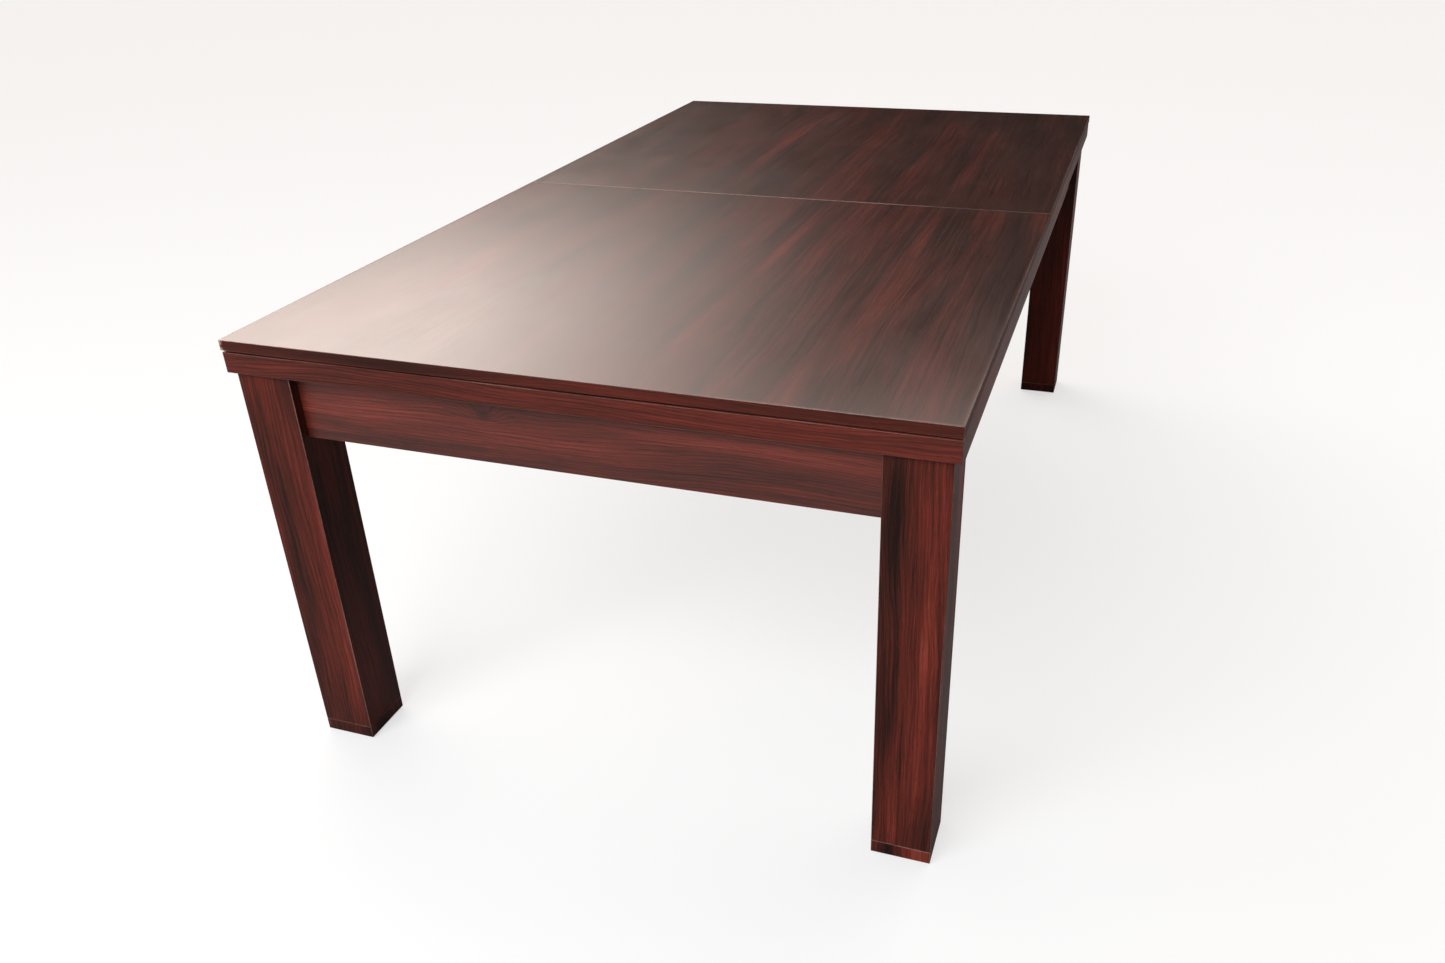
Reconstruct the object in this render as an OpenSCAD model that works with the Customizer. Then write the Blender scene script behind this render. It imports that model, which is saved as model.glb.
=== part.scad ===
// Pool table that doubles as a dining table. Two lift-off dining boards lie on
// a six-rail top frame. Under them are the cushions, the cloth-covered bed and
// six drop pockets, all carried by a box of aprons with cross beams and by four
// square legs that stand on levelling feet.
// X runs across the table, Y along it, Z up. The origin is on the floor under
// the middle of the table.

/* [Overall] */
// Length over the dining boards
table_l = 2100; // [1960:10:2600]
// Width over the dining boards
table_w = 1200; // [1100:10:1500]
// Height of the dining surface above the floor
table_h = 810; // [760:5:860]

/* [Dining boards] */
// Thickness of a dining board
board_t = 18; // [15:1:25]
// How far a board stands out past the rails
board_overhang = 1; // [0:0.5:4]
// Gap between the two boards at the middle of the table
seam_gap = 1; // [0.5:0.5:3]
// Rounding of the boards' and rails' edges
edge_bevel = 1; // [0.5:0.5:2]
// Thickness of the anti-slip strips that the boards rest on
strip_t = 3; // [2:0.5:4]
// Width of an anti-slip strip
strip_w = 18; // [12:1:20]
// Distance from a board's edge to its anti-slip strip
strip_inset = 12; // [6:1:14]

/* [Rails and cushions] */
// Thickness of a rail, two boards glued together
rail_h = 36; // [32:1:44]
// Width of a rail's wood
rail_w = 111; // [106:1:120]
// Gap in the joints between rails
rail_gap = 0.3; // [0.2:0.1:0.6]
// How far a cushion stands out from its rail
cushion_d = 38; // [32:1:44]
// Depth of a cushion's back face
cushion_h = 34; // [30:1:36]
// Radius of a cushion's nose
nose_r = 3; // [2.5:0.5:4]
// Height of the cushion's nose above the cloth
nose_z = 36.3; // [33:0.1:38]
// Thickness of the cloth
cloth_t = 1; // [0.6:0.1:1.2]

/* [Bed] */
// Thickness of the bed board
bed_t = 18; // [15:1:25]
// Thickness of the packers between bed and rails
packer_t = 7; // [6:1:10]
// Width of a packer
packer_w = 42; // [30:1:44]
// Distance from a rail's outer edge to its packer
packer_inset = 62; // [60:1:64]

/* [Pockets] */
// Inner radius of a corner pocket
corner_r = 55; // [50:0.5:56]
// Inner radius of a side pocket
side_r = 50; // [45:0.5:51]
// Distance from the rails' outer edges to a corner pocket's centre
corner_inset = 108; // [107:0.5:112]
// Distance from the rail's outer edge to a side pocket's centre
side_inset = 98; // [97.5:0.5:102]
// Wall of a pocket
pocket_wall = 2.5; // [2:0.5:3]
// Depth of a pocket below the bed's upper face
pocket_depth = 96; // [80:1:100]
// Opening between the cushion noses at a corner pocket
corner_mouth = 118; // [110:1:125]
// Opening between the cushion noses at a side pocket
side_mouth = 126; // [120:1:135]
// Angle between a cushion's nose line and its end at a corner pocket
corner_jaw = 38; // [34:1:44]
// Angle between a cushion's nose line and its end at a side pocket
side_jaw = 76; // [72:1:80]
// Width of the pocket's trim on top of the rails
trim_w = 10; // [6:1:12]
// Thickness of the pocket's trim
trim_t = 1.5; // [1:0.5:2]
// How much narrower a basket is at its floor than at the bed, in radius
basket_draft = 3; // [1:0.5:5]
// Rounding between a basket's side and its floor
floor_round = 18; // [10:1:24]
// Number of slots in a basket
slots = 8; // [4:1:10]
// Width of a slot
slot_w = 8; // [5:1:10]

/* [Aprons and beams] */
// Height of an apron
apron_h = 115; // [108:1:140]
// Thickness of an apron
apron_t = 15; // [12:1:15]
// Width of a ledger strip
ledger_w = 20; // [15:1:24]
// Height of a ledger strip
ledger_h = 25; // [18:1:30]
// Height of a beam
beam_h = 78; // [60:1:80]
// Thickness of a beam
beam_t = 18; // [15:1:22]
// Distance from the middle to the inner cross beams
beam_inner = 290; // [250:5:330]
// Distance from the rails' ends to the outer cross beams
beam_inset = 400; // [320:5:460]
// Clearance in the beams' half-lap joints
lap_gap = 0.3; // [0.2:0.1:0.5]

/* [Legs] */
// Side of a square leg
leg_s = 100; // [96:1:120]
// Thickness of a leg's panels
leg_wall = 18; // [15:1:20]
// Distance from the rail's outer edge to the leg's face
leg_inset = 10; // [4:1:10]
// Thickness of the block that closes a leg at its top
leg_block_h = 30; // [20:1:50]
// Height of a foot block, from the floor
foot_block_z = 28; // [24:1:40]
// Length of the foot block's spigot inside the leg
spigot_h = 32; // [26:1:50]

/* [Levelling feet] */
// Gap under a foot block when the leveller is screwed in
foot_gap = 3; // [2:0.5:6]
// Radius of a leveller's disc
disc_r = 25; // [18:1:30]
// Thickness of a leveller's disc
disc_t = 6; // [5:0.5:8]
// Radius of a leveller's threaded stud
stud_r = 5; // [4:0.5:6]
// Length of the stud above its disc
stud_l = 42; // [36:1:46]

/* [Fasteners] */
// Radius of a bolt's shank
bolt_r = 4; // [3:0.5:4]
// Clearance around a bolt
bolt_gap = 0.3; // [0.2:0.1:0.5]
// Thickness of the corner and beam brackets
bracket_t = 2.5; // [2:0.5:3]
// Length of each flange of a corner bracket
bracket_w = 38; // [34:1:40]
// Height of a corner bracket
bracket_h = 66; // [60:1:68]
// Distance between the two bolts in a flange of a corner bracket
bolt_pitch = 36; // [30:1:40]
// Distance from the rail's outer edge to the leg bolts
leg_bolt_inset = 63; // [61:0.5:66]

/* [Hidden] */
$fn = 64;
node = "all";

// Corner and side names with the direction of each from the table's middle
corners = [["near_left", -1, -1], ["near_right", 1, -1], ["far_left", -1, 1], ["far_right", 1, 1]];
ends = [["near", -1], ["far", 1]];
sides = [["left", -1], ["right", 1]];

// Half sizes of the rail frame
half_w = table_w / 2 - board_overhang;
half_l = table_l / 2 - board_overhang;

// Heights of the layers, from the dining surface down
z_board = table_h - board_t;
z_rail_top = z_board - strip_t;
z_rail = z_rail_top - rail_h;
z_cloth = z_rail - packer_t;
z_bed_top = z_cloth - cloth_t;
z_bed = z_bed_top - bed_t;
z_apron = z_rail - apron_h;
z_beam = z_bed - beam_h;
z_lap = z_bed - beam_h / 2;

// Distances in from the rails' outer edges
apron_out = leg_inset + leg_wall;
apron_in = apron_out + apron_t;
nose_inset = rail_w + cushion_d;
bed_clear = 1;
bolt_line = packer_inset + packer_w / 2;

// Pockets: outer radius, the hole that takes it, and the basket's floor
fit = 0.5;
corner_out = corner_r + pocket_wall;
side_out = side_r + pocket_wall;
corner_hole = corner_out + fit;
side_hole = side_out + fit;
z_pocket = z_bed_top - pocket_depth;
notch_shoulder = 5;

// Cushion tips, measured from where the nose lines meet, or from the side pocket's middle
corner_tip = corner_mouth / sqrt(2);
side_tip = side_mouth / 2;

// Ends of packers and ledgers beside the pockets
pocket_margin = 12;
packer_far = packer_inset + packer_w;
packer_corner = nose_inset + corner_tip - (nose_inset - packer_far) / tan(corner_jaw) + pocket_margin;
packer_side = side_hole + pocket_margin;
ledger_corner = corner_inset + corner_hole + pocket_margin;
ledger_side = side_hole + pocket_margin;
bolt_from_end = 60;
end_bolt_x = 120;

// Leg and levelling foot
leg_far = leg_inset + leg_s;
leg_mid = leg_inset + leg_s / 2;
spigot_gap = 0.3;
washer_t = 1.5;
washer_r = 12;
recess_gap = 3;
insert_l = 22;
insert_wall = 2;
thread_gap = 0.05;
recess_z = disc_t + washer_t;

// Leg bolts and their washers and heads
z_bracket = z_apron + 14;
bolt_zs = [for (s = [-1, 1]) z_bracket + bracket_h / 2 + s * bolt_pitch / 2];
washer_ratio = 2;
bolt_washer_t = 1.6;
head_r = bolt_r * 1.8;
head_t = bolt_r * 1.3;
leg_hold = 12;
rail_hold = 22;
beam_bracket_w = 30;
beam_bracket_h = 44;

board_names = [for (e = ends) str("dining_board_", e[0])];
strip_names = [for (e = ends) str("board_strips_", e[0])];
end_rail_names = [for (e = ends) str("rail_", e[0], "_end")];
side_rail_names = [for (s = sides, e = ends) str("rail_", s[0], "_", e[0])];
end_cushion_names = [for (e = ends) str("cushion_", e[0], "_end")];
side_cushion_names = [for (s = sides, e = ends) str("cushion_", s[0], "_", e[0])];
pocket_names = concat([for (c = corners) str("pocket_", c[0])], [for (s = sides) str("pocket_", s[0], "_side")]);
apron_names = concat([for (e = ends) str("apron_", e[0], "_end")], [for (s = sides) str("apron_", s[0])]);
leg_names = [for (c = corners) str("leg_", c[0])];
foot_block_names = [for (c = corners) str("foot_block_", c[0])];
washer_names = [for (c = corners) str("leveller_washer_", c[0])];
leveller_names = [for (c = corners) str("leveller_", c[0])];
NODES = concat(board_names, strip_names, end_rail_names, side_rail_names, end_cushion_names,
    side_cushion_names, ["cushion_rubbers_end", "cushion_rubbers_side", "rail_packers", "bed_cloth",
    "bed_board"], pocket_names, apron_names, ["ledger_strips", "cross_beams_inner",
    "cross_beams_outer", "spine_beam", "beam_brackets", "corner_brackets", "leg_bolts", "rail_bolts"],
    leg_names, ["leg_top_blocks"], foot_block_names, ["foot_inserts"], washer_names, leveller_names);

// Finishes
laminate = [0.33, 0.16, 0.14];
cloth_green = [0.05, 0.35, 0.2];
rubber = [0.1, 0.1, 0.1];
raw_board = [0.72, 0.58, 0.42];
pine = [0.85, 0.7, 0.48];
steel = [0.7, 0.7, 0.72];
black_plastic = [0.07, 0.07, 0.07];

// A box between two corners, with all its edges cut back by c
module bar(a, b, c = 0) {
    mid = (a + b) / 2;
    size = b - a;
    cut = c * sqrt(2);
    difference() {
        translate(a) cube(size);
        if (c > 0) for (i = [-1, 1], j = [-1, 1]) {
            translate(mid + [0, i * size.y / 2, j * size.z / 2])
                rotate([45, 0, 0]) cube([size.x + 2, cut, cut], center = true);
            translate(mid + [i * size.x / 2, 0, j * size.z / 2])
                rotate([0, 45, 0]) cube([cut, size.y + 2, cut], center = true);
            translate(mid + [i * size.x / 2, j * size.y / 2, 0])
                rotate([0, 0, 45]) cube([cut, cut, size.z + 2], center = true);
        }
    }
}

// Draws its children, mirrored in X or Y where asked
module flip(x, y) {
    mirror(x ? [1, 0, 0] : [0, 0, 0]) mirror(y ? [0, 1, 0] : [0, 0, 0]) children();
}

// Local frame of a corner: origin at the rail frame's outer corner, X and Y pointing inwards
module at_corner(c) {
    flip(c[1] > 0, c[2] > 0) translate([-half_w, -half_l, 0]) children();
}

// Local frame of a side pocket: origin on the rail's outer edge, X along the rail, Y inwards
module at_side(s) {
    flip(s > 0, false) translate([-half_w, 0, 0]) rotate([0, 0, -90]) children();
}

// The point of the line through tip at the given angle that lies nearest to centre
function nearest(tip, angle, centre) =
    let (d = [-cos(angle), -sin(angle)]) tip + d * ((centre - tip) * d);

// Plan of the space between a corner pocket's jaws, grown outwards by g
module corner_mouth_2d(g = 0) {
    centre = [corner_inset, corner_inset];
    tip = [nose_inset + corner_tip + g / sin(corner_jaw), nose_inset];
    inner = nearest(tip, corner_jaw, centre);
    polygon([tip, inner, [inner.y, inner.x], [tip.y, tip.x]]);
}

// The same for a side pocket, run on over the bed so that it clears the pocket's front
module side_mouth_2d(g = 0) {
    tip = [side_tip + g / sin(side_jaw), nose_inset];
    inner = nearest(tip, side_jaw, [0, side_inset]);
    front = nose_inset + cushion_d;
    polygon([tip, inner, [-inner.x, inner.y], [-tip.x, tip.y], [-tip.x, front], [tip.x, front]]);
}

// All six pocket openings, jaws and holes together, as one cutter from z0 to z1
module pocket_cuts(z0, z1, g = 0) {
    for (c = corners) at_corner(c) translate([0, 0, z0]) linear_extrude(z1 - z0) {
        corner_mouth_2d(g);
        translate([corner_inset, corner_inset]) circle(corner_hole);
    }
    for (s = sides) at_side(s[1]) translate([0, 0, z0]) linear_extrude(z1 - z0) {
        side_mouth_2d(g);
        translate([0, side_inset]) circle(side_hole);
    }
}

// Half of the dining top
module dining_board(e) {
    flip(false, e > 0) color(laminate)
        bar([-table_w / 2, -table_l / 2, z_board], [table_w / 2, -seam_gap / 2, table_h], edge_bevel);
}

// Rubber strips under one dining board, along its three free edges
module board_strips(e) {
    x = table_w / 2 - strip_inset;
    y = table_l / 2 - strip_inset;
    z = [0, 0, z_rail_top];
    y_side = -y + strip_w + strip_inset;
    flip(false, e > 0) color(rubber) {
        translate(z) translate([-x, -y, 0]) cube([2 * x, strip_w, strip_t]);
        for (s = sides) flip(s[1] > 0, false)
            translate(z) translate([-x, y_side, 0]) cube([strip_w, -y_side - strip_inset, strip_t]);
    }
}

// The ring that all six rails are cut from
module rail_ring() {
    difference() {
        bar([-half_w, -half_l, z_rail], [half_w, half_l, z_rail_top], edge_bevel);
        translate([rail_w - half_w, rail_w - half_l, z_rail - 1])
            cube([2 * (half_w - rail_w), 2 * (half_l - rail_w), rail_h + 2]);
        pocket_cuts(z_rail - 1, z_rail_top + 1);
        rail_bolt_places() translate([0, 0, z_rail - 1]) cylinder(r = bolt_r + bolt_gap, h = rail_hold + 3);
    }
}

// End rail, mitred at both corners
module end_rail(e) {
    w = half_w - rail_gap / sqrt(2);
    color(laminate) intersection() {
        rail_ring();
        flip(false, e > 0) translate([0, 0, z_rail - 1]) linear_extrude(rail_h + 2)
            polygon([[-w, -half_l], [w, -half_l], [w - rail_w, rail_w - half_l], [rail_w - w, rail_w - half_l]]);
    }
}

// Side rail, from a mitre at the corner to a butt joint behind the side pocket
module side_rail(s, e) {
    l = half_l - rail_gap / sqrt(2);
    color(laminate) intersection() {
        rail_ring();
        flip(s > 0, e > 0) translate([0, 0, z_rail - 1]) linear_extrude(rail_h + 2)
            polygon([[-half_w, -l], [-half_w, -rail_gap / 2], [rail_w - half_w, -rail_gap / 2],
                [rail_w - half_w, rail_w - l]]);
    }
}

// Angle, seen from the nose's centre c, at which the line from p touches a circle of radius r
function touch(c, p, r, side) = atan2(p.y - c.y, p.x - c.x) - side * acos(r / norm(p - c));

// Section of a cushion: X out from the rail, Y up; t is taken off all round but the back
function cushion_section(t) =
    let (c = [cushion_d - nose_r, z_cloth + nose_z], r = nose_r - t,
        top = [0, z_rail_top - t], low = [0, z_rail_top - cushion_h + t],
        a = touch(c, top, r, 1), b = touch(c, low, r, -1) - 360, steps = 8)
    concat([low, top], [for (i = [0:steps]) let (f = a + (b + 360 - a) * i / steps) c + r * [cos(f), sin(f)]]);

// Straight length of cushion along X, its back on the X axis
module cushion_length(l, t) {
    rotate([90, 0, 90]) linear_extrude(l, center = true) polygon(cushion_section(t));
}

// End cushion, trimmed at its jaws
module end_cushion(e, t) {
    l = 2 * (half_w - nose_inset - corner_tip + cushion_d / tan(corner_jaw));
    difference() {
        flip(false, e > 0) translate([0, rail_w - half_l, 0]) cushion_length(l, t);
        pocket_cuts(z_cloth - 1, z_rail_top + 1, t);
    }
}

// Side cushion, trimmed at a corner jaw and at the side pocket's jaw
module side_cushion(s, e, t) {
    y0 = half_l - nose_inset - corner_tip + cushion_d / tan(corner_jaw);
    y1 = side_tip - cushion_d / tan(side_jaw);
    difference() {
        flip(s > 0, e > 0) translate([rail_w - half_w, -(y0 + y1) / 2, 0])
            rotate([0, 0, -90]) cushion_length(y0 - y1, t);
        pocket_cuts(z_cloth - 1, z_rail_top + 1, t);
    }
}

// Cloth glued round an end cushion's rubber
module end_cushion_cloth(e) {
    color(cloth_green) difference() {
        end_cushion(e, 0);
        end_cushion(e, cloth_t);
    }
}

// Cloth glued round a side cushion's rubber
module side_cushion_cloth(s, e) {
    color(cloth_green) difference() {
        side_cushion(s, e, 0);
        side_cushion(s, e, cloth_t);
    }
}

// Strips that hold the rails up off the bed
module rail_packers() {
    end_x = half_w - packer_corner;
    side_l = half_l - packer_corner - packer_side;
    color(pine) difference() {
        union() {
            for (e = ends) flip(false, e[1] > 0)
                translate([-end_x, packer_inset - half_l, z_cloth]) cube([2 * end_x, packer_w, packer_t]);
            for (s = sides, e = ends) flip(s[1] > 0, e[1] > 0)
                translate([packer_inset - half_w, packer_corner - half_l, z_cloth])
                    cube([packer_w, side_l, packer_t]);
        }
        rail_bolt_places() translate([0, 0, z_cloth - 1]) cylinder(r = bolt_r + bolt_gap, h = packer_t + 2);
    }
}

// Plan of the hole for a pocket, with the notch that opens it to the bed's edge
module pocket_notch(r, l) {
    half = r - notch_shoulder;
    circle(r);
    translate([-half, -l]) square([2 * half, l]);
}

// Plan of the bed, open at the pockets
module bed_plan() {
    w = half_w - apron_in - bed_clear;
    l = half_l - apron_in - bed_clear;
    difference() {
        square([2 * w, 2 * l], center = true);
        for (c = corners) at_corner(c) translate([corner_inset, corner_inset]) rotate(-45)
            pocket_notch(corner_hole, 2 * corner_inset);
        for (s = sides) at_side(s[1]) translate([0, side_inset]) pocket_notch(side_hole, side_inset);
        rail_bolt_places() circle(bolt_r + bolt_gap);
    }
}

module bed_board() {
    color(raw_board) translate([0, 0, z_bed]) linear_extrude(bed_t) bed_plan();
}

module bed_cloth() {
    color(cloth_green) translate([0, 0, z_bed_top]) linear_extrude(cloth_t) bed_plan();
}

// Quarter of a circle in a basket's profile, from its floor to its side
function floor_arc(r, radius) = [for (a = [0:15:90])
    [r - basket_draft - floor_round, z_pocket + pocket_wall + floor_round] + radius * [sin(a), -cos(a)]];

// One pocket about its own axis: a tapered basket under the bed, a collar behind
// the cushions and a bevelled trim ring that lies on the rails
module pocket_round(r) {
    inside = floor_arc(r, floor_round);
    outside = floor_arc(r, floor_round + pocket_wall);
    out = r + pocket_wall;
    z_trim = z_rail_top + trim_t;
    rotate_extrude() polygon(concat([[0, z_pocket + pocket_wall]], inside,
        [[r, z_bed], [r, z_trim], [out + trim_w - trim_t, z_trim], [out + trim_w, z_rail_top],
        [out, z_rail_top], [out, z_bed]], [for (i = [len(outside) - 1:-1:0]) outside[i]], [[0, z_pocket]]));
}

// Upright slots round a basket's side
module pocket_slots(r) {
    z0 = z_pocket + pocket_wall + floor_round + slot_w / 2;
    z1 = z_bed - slot_w;
    for (i = [0:slots - 1]) rotate((i + 0.5) * 360 / slots) {
        for (z = [z0, z1]) translate([0, 0, z]) rotate([0, 90, 0]) cylinder(d = slot_w, h = r + 2 * pocket_wall);
        translate([0, -slot_w / 2, z0]) cube([r + 2 * pocket_wall, slot_w, z1 - z0]);
    }
}

// Corner pocket, its collar open between the jaws
module corner_pocket(c) {
    color(black_plastic) at_corner(c) difference() {
        translate([corner_inset, corner_inset, 0]) pocket_round(corner_r);
        translate([0, 0, z_bed_top]) linear_extrude(z_board - z_bed_top) corner_mouth_2d(fit);
        translate([corner_inset, corner_inset, 0]) rotate(45) pocket_slots(corner_r);
    }
}

// Side pocket, its collar open between the jaws
module side_pocket(s) {
    color(black_plastic) at_side(s) difference() {
        translate([0, side_inset, 0]) pocket_round(side_r);
        translate([0, 0, z_bed_top]) linear_extrude(z_board - z_bed_top) side_mouth_2d(fit);
        translate([0, side_inset, 0]) pocket_slots(side_r);
    }
}

// Apron across one end, between the side aprons
module end_apron(e) {
    w = half_w - apron_in;
    color(laminate) flip(false, e > 0) difference() {
        bar([-w, apron_out - half_l, z_apron], [w, apron_in - half_l, z_rail], 0);
        for (s = sides, z = bolt_zs)
            translate([s[1] * (half_w - leg_bolt_inset), apron_out - half_l - 1, z])
                rotate([-90, 0, 0]) cylinder(r = bolt_r + bolt_gap, h = apron_t + 2);
    }
}

// Apron along one side, over the full length of the apron box
module side_apron(s) {
    l = half_l - apron_out;
    color(laminate) flip(s > 0, false) difference() {
        bar([apron_out - half_w, -l, z_apron], [apron_in - half_w, l, z_rail], 0);
        for (e = ends, z = bolt_zs)
            translate([apron_out - half_w - 1, e[1] * (half_l - leg_bolt_inset), z])
                rotate([0, 90, 0]) cylinder(r = bolt_r + bolt_gap, h = apron_t + 2);
    }
}

// Strips on the aprons' inner faces that carry the bed
module ledger_strips() {
    z = z_bed - ledger_h;
    end_x = half_w - ledger_corner;
    side_l = half_l - ledger_corner - ledger_side;
    color(pine) {
        for (e = ends) flip(false, e[1] > 0)
            translate([-end_x, apron_in - half_l, z]) cube([2 * end_x, ledger_w, ledger_h]);
        for (s = sides, e = ends) flip(s[1] > 0, e[1] > 0)
            translate([apron_in - half_w, ledger_corner - half_l, z]) cube([ledger_w, side_l, ledger_h]);
    }
}

// A beam along X, centred, notched over the ledgers at both ends
module beam(l) {
    difference() {
        translate([-l / 2, -beam_t / 2, z_beam]) cube([l, beam_t, beam_h]);
        for (s = [-1, 1]) flip(s > 0, false)
            translate([-l / 2 - 1, -beam_t / 2 - 1, z_bed - ledger_h - lap_gap])
                cube([ledger_w + lap_gap + 1, beam_t + 2, ledger_h + lap_gap + 1]);
    }
}

// A pair of cross beams, y from the middle, half-lapped over the spine beam
module cross_beams(y) {
    color(pine) for (e = ends) translate([0, e[1] * y, 0]) difference() {
        beam(2 * (half_w - apron_in));
        translate([-beam_t / 2 - lap_gap, -beam_t, z_lap]) cube([beam_t + 2 * lap_gap, 2 * beam_t, beam_h]);
    }
}

// Beam down the middle of the table, notched over the cross beams
module spine_beam() {
    color(pine) difference() {
        rotate(90) beam(2 * (half_l - apron_in));
        for (y = [beam_inner, half_l - beam_inset], e = [-1, 1])
            translate([-beam_t, e * y - beam_t / 2 - lap_gap, z_beam - 1])
                cube([2 * beam_t, beam_t + 2 * lap_gap, beam_h / 2 + 1]);
    }
}

// Angle bracket in the corner between the XZ and YZ planes, flanges of length w
module angle_bracket(w, h) {
    linear_extrude(h) polygon([[0, 0], [w, 0], [w, bracket_t], [bracket_t, bracket_t], [bracket_t, w], [0, w]]);
}

// Brackets that hang the beams on the aprons
module beam_brackets() {
    x = half_w - apron_in;
    y = half_l - apron_in;
    z = z_beam + 4;
    color(steel) {
        for (s = sides, e = ends, b = [beam_inner, half_l - beam_inset]) flip(s[1] > 0, e[1] > 0)
            translate([-x, beam_t / 2 - b, z]) angle_bracket(beam_bracket_w, beam_bracket_h);
        for (e = ends) flip(false, e[1] > 0)
            translate([beam_t / 2, -y, z]) angle_bracket(beam_bracket_w, beam_bracket_h);
    }
}

// Places of the bolts that hold the rails to the bed
module rail_bolt_places() {
    end_x = half_w - packer_corner - bolt_from_end;
    for (e = ends, x = [-end_x, -end_bolt_x, end_bolt_x, end_x])
        translate([x, e[1] * (half_l - bolt_line), 0]) children();
    y0 = packer_side + bolt_from_end;
    y1 = half_l - packer_corner - bolt_from_end;
    for (s = sides, e = ends, y = [y0, (y0 + y1) / 2, y1])
        translate([s[1] * (half_w - bolt_line), e[1] * y, 0]) children();
}

// A bolt with its washer, shank up the Z axis from its seat at z = 0
module bolt(l) {
    cylinder(r = bolt_r, h = l);
    translate([0, 0, -bolt_washer_t]) cylinder(r = bolt_r * washer_ratio, h = bolt_washer_t);
    translate([0, 0, -bolt_washer_t - head_t]) cylinder(r = head_r, h = head_t, $fn = 6);
}

module rail_bolts() {
    color(steel) rail_bolt_places() translate([0, 0, z_bed])
        bolt(bed_t + cloth_t + packer_t + rail_hold);
}

// Draws its children at both flanges' bolts in a corner, +Z pointing out into the leg
module leg_bolt_places(c) {
    at_corner(c) for (z = bolt_zs) {
        translate([leg_bolt_inset, apron_in + bracket_t, z]) rotate([90, 0, 0]) children();
        translate([apron_in + bracket_t, leg_bolt_inset, z]) rotate([0, -90, 0]) children();
    }
}

module leg_bolts() {
    color(steel) for (c = corners) leg_bolt_places(c) bolt(bracket_t + apron_t + leg_hold - 1);
}

module corner_brackets() {
    color(steel) for (c = corners) difference() {
        at_corner(c) translate([apron_in, apron_in, z_bracket]) angle_bracket(bracket_w, bracket_h);
        leg_bolt_places(c) translate([0, 0, -1]) cylinder(r = bolt_r + bolt_gap, h = bracket_t + 2);
    }
}

// A leg: a box of four panels whose two outer panels run up over the aprons
module leg(c) {
    inside = leg_inset + leg_wall;
    color(laminate) difference() {
        at_corner(c) difference() {
            bar([leg_inset, leg_inset, foot_block_z], [leg_far, leg_far, z_rail], edge_bevel);
            translate([inside, inside, foot_block_z - 1])
                cube([leg_s - 2 * leg_wall, leg_s - 2 * leg_wall, z_rail]);
            translate([inside, inside, z_apron]) cube([leg_s, leg_s, apron_h + 1]);
        }
        leg_bolt_places(c) cylinder(r = bolt_r + bolt_gap, h = bracket_t + apron_t + leg_hold);
    }
}

// Block that closes a leg's box under the aprons
module leg_top_blocks() {
    side = leg_s - 2 * (leg_wall + spigot_gap);
    color(raw_board) for (c = corners) at_corner(c)
        translate([leg_mid - side / 2, leg_mid - side / 2, z_apron - leg_block_h]) cube([side, side, leg_block_h]);
}

// Foot block: a square plinth with a spigot up inside the leg and a recess for the leveller
module foot_block(c) {
    side = leg_s - 2 * (leg_wall + spigot_gap);
    color(laminate) at_corner(c) difference() {
        union() {
            bar([leg_inset, leg_inset, foot_gap], [leg_far, leg_far, foot_block_z], edge_bevel);
            translate([leg_mid - side / 2, leg_mid - side / 2, foot_block_z - 1]) cube([side, side, spigot_h + 1]);
        }
        translate([leg_mid, leg_mid, 0]) {
            cylinder(r = disc_r + recess_gap, h = recess_z);
            cylinder(r = stud_r + thread_gap + insert_wall + bolt_gap / 2, h = recess_z + insert_l);
            cylinder(r = stud_r + bolt_gap, h = disc_t + stud_l + 4);
        }
    }
}

// Threaded inserts that the levellers screw into
module foot_inserts() {
    color(steel) for (c = corners) at_corner(c) translate([leg_mid, leg_mid, recess_z]) difference() {
        cylinder(r = stud_r + thread_gap + insert_wall, h = insert_l);
        translate([0, 0, -1]) cylinder(r = stud_r + thread_gap, h = insert_l + 2);
    }
}

// Loose washer between a leveller's disc and its foot block
module leveller_washer(c) {
    color(steel) at_corner(c) translate([leg_mid, leg_mid, disc_t]) difference() {
        cylinder(r = washer_r, h = washer_t);
        translate([0, 0, -1]) cylinder(r = stud_r + bolt_gap, h = washer_t + 2);
    }
}

// Levelling foot: a disc with a threaded stud
module leveller(c) {
    rim = 1.5;
    color(black_plastic) at_corner(c) translate([leg_mid, leg_mid, 0]) rotate_extrude()
        polygon([[0, 0], [disc_r - rim, 0], [disc_r, rim], [disc_r, disc_t - rim], [disc_r - rim, disc_t],
            [stud_r, disc_t], [stud_r, disc_t + stud_l - 1], [stud_r - 1, disc_t + stud_l], [0, disc_t + stud_l]]);
}

function wanted(name) = node == "all" || node == name;

for (i = [0, 1]) {
    e = ends[i][1];
    if (wanted(board_names[i])) dining_board(e);
    if (wanted(strip_names[i])) board_strips(e);
    if (wanted(end_rail_names[i])) end_rail(e);
    if (wanted(end_cushion_names[i])) end_cushion_cloth(e);
    if (wanted(apron_names[i])) end_apron(e);
    if (wanted(apron_names[i + 2])) side_apron(sides[i][1]);
    if (wanted(pocket_names[i + 4])) side_pocket(sides[i][1]);
}
for (i = [0, 1], j = [0, 1]) {
    k = 2 * i + j;
    s = sides[i][1];
    e = ends[j][1];
    if (wanted(side_rail_names[k])) side_rail(s, e);
    if (wanted(side_cushion_names[k])) side_cushion_cloth(s, e);
}
for (i = [0:3]) {
    c = corners[i];
    if (wanted(pocket_names[i])) corner_pocket(c);
    if (wanted(leg_names[i])) leg(c);
    if (wanted(foot_block_names[i])) foot_block(c);
    if (wanted(washer_names[i])) leveller_washer(c);
    if (wanted(leveller_names[i])) leveller(c);
}
if (wanted("cushion_rubbers_end")) color(rubber) for (e = ends) end_cushion(e[1], cloth_t);
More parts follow.
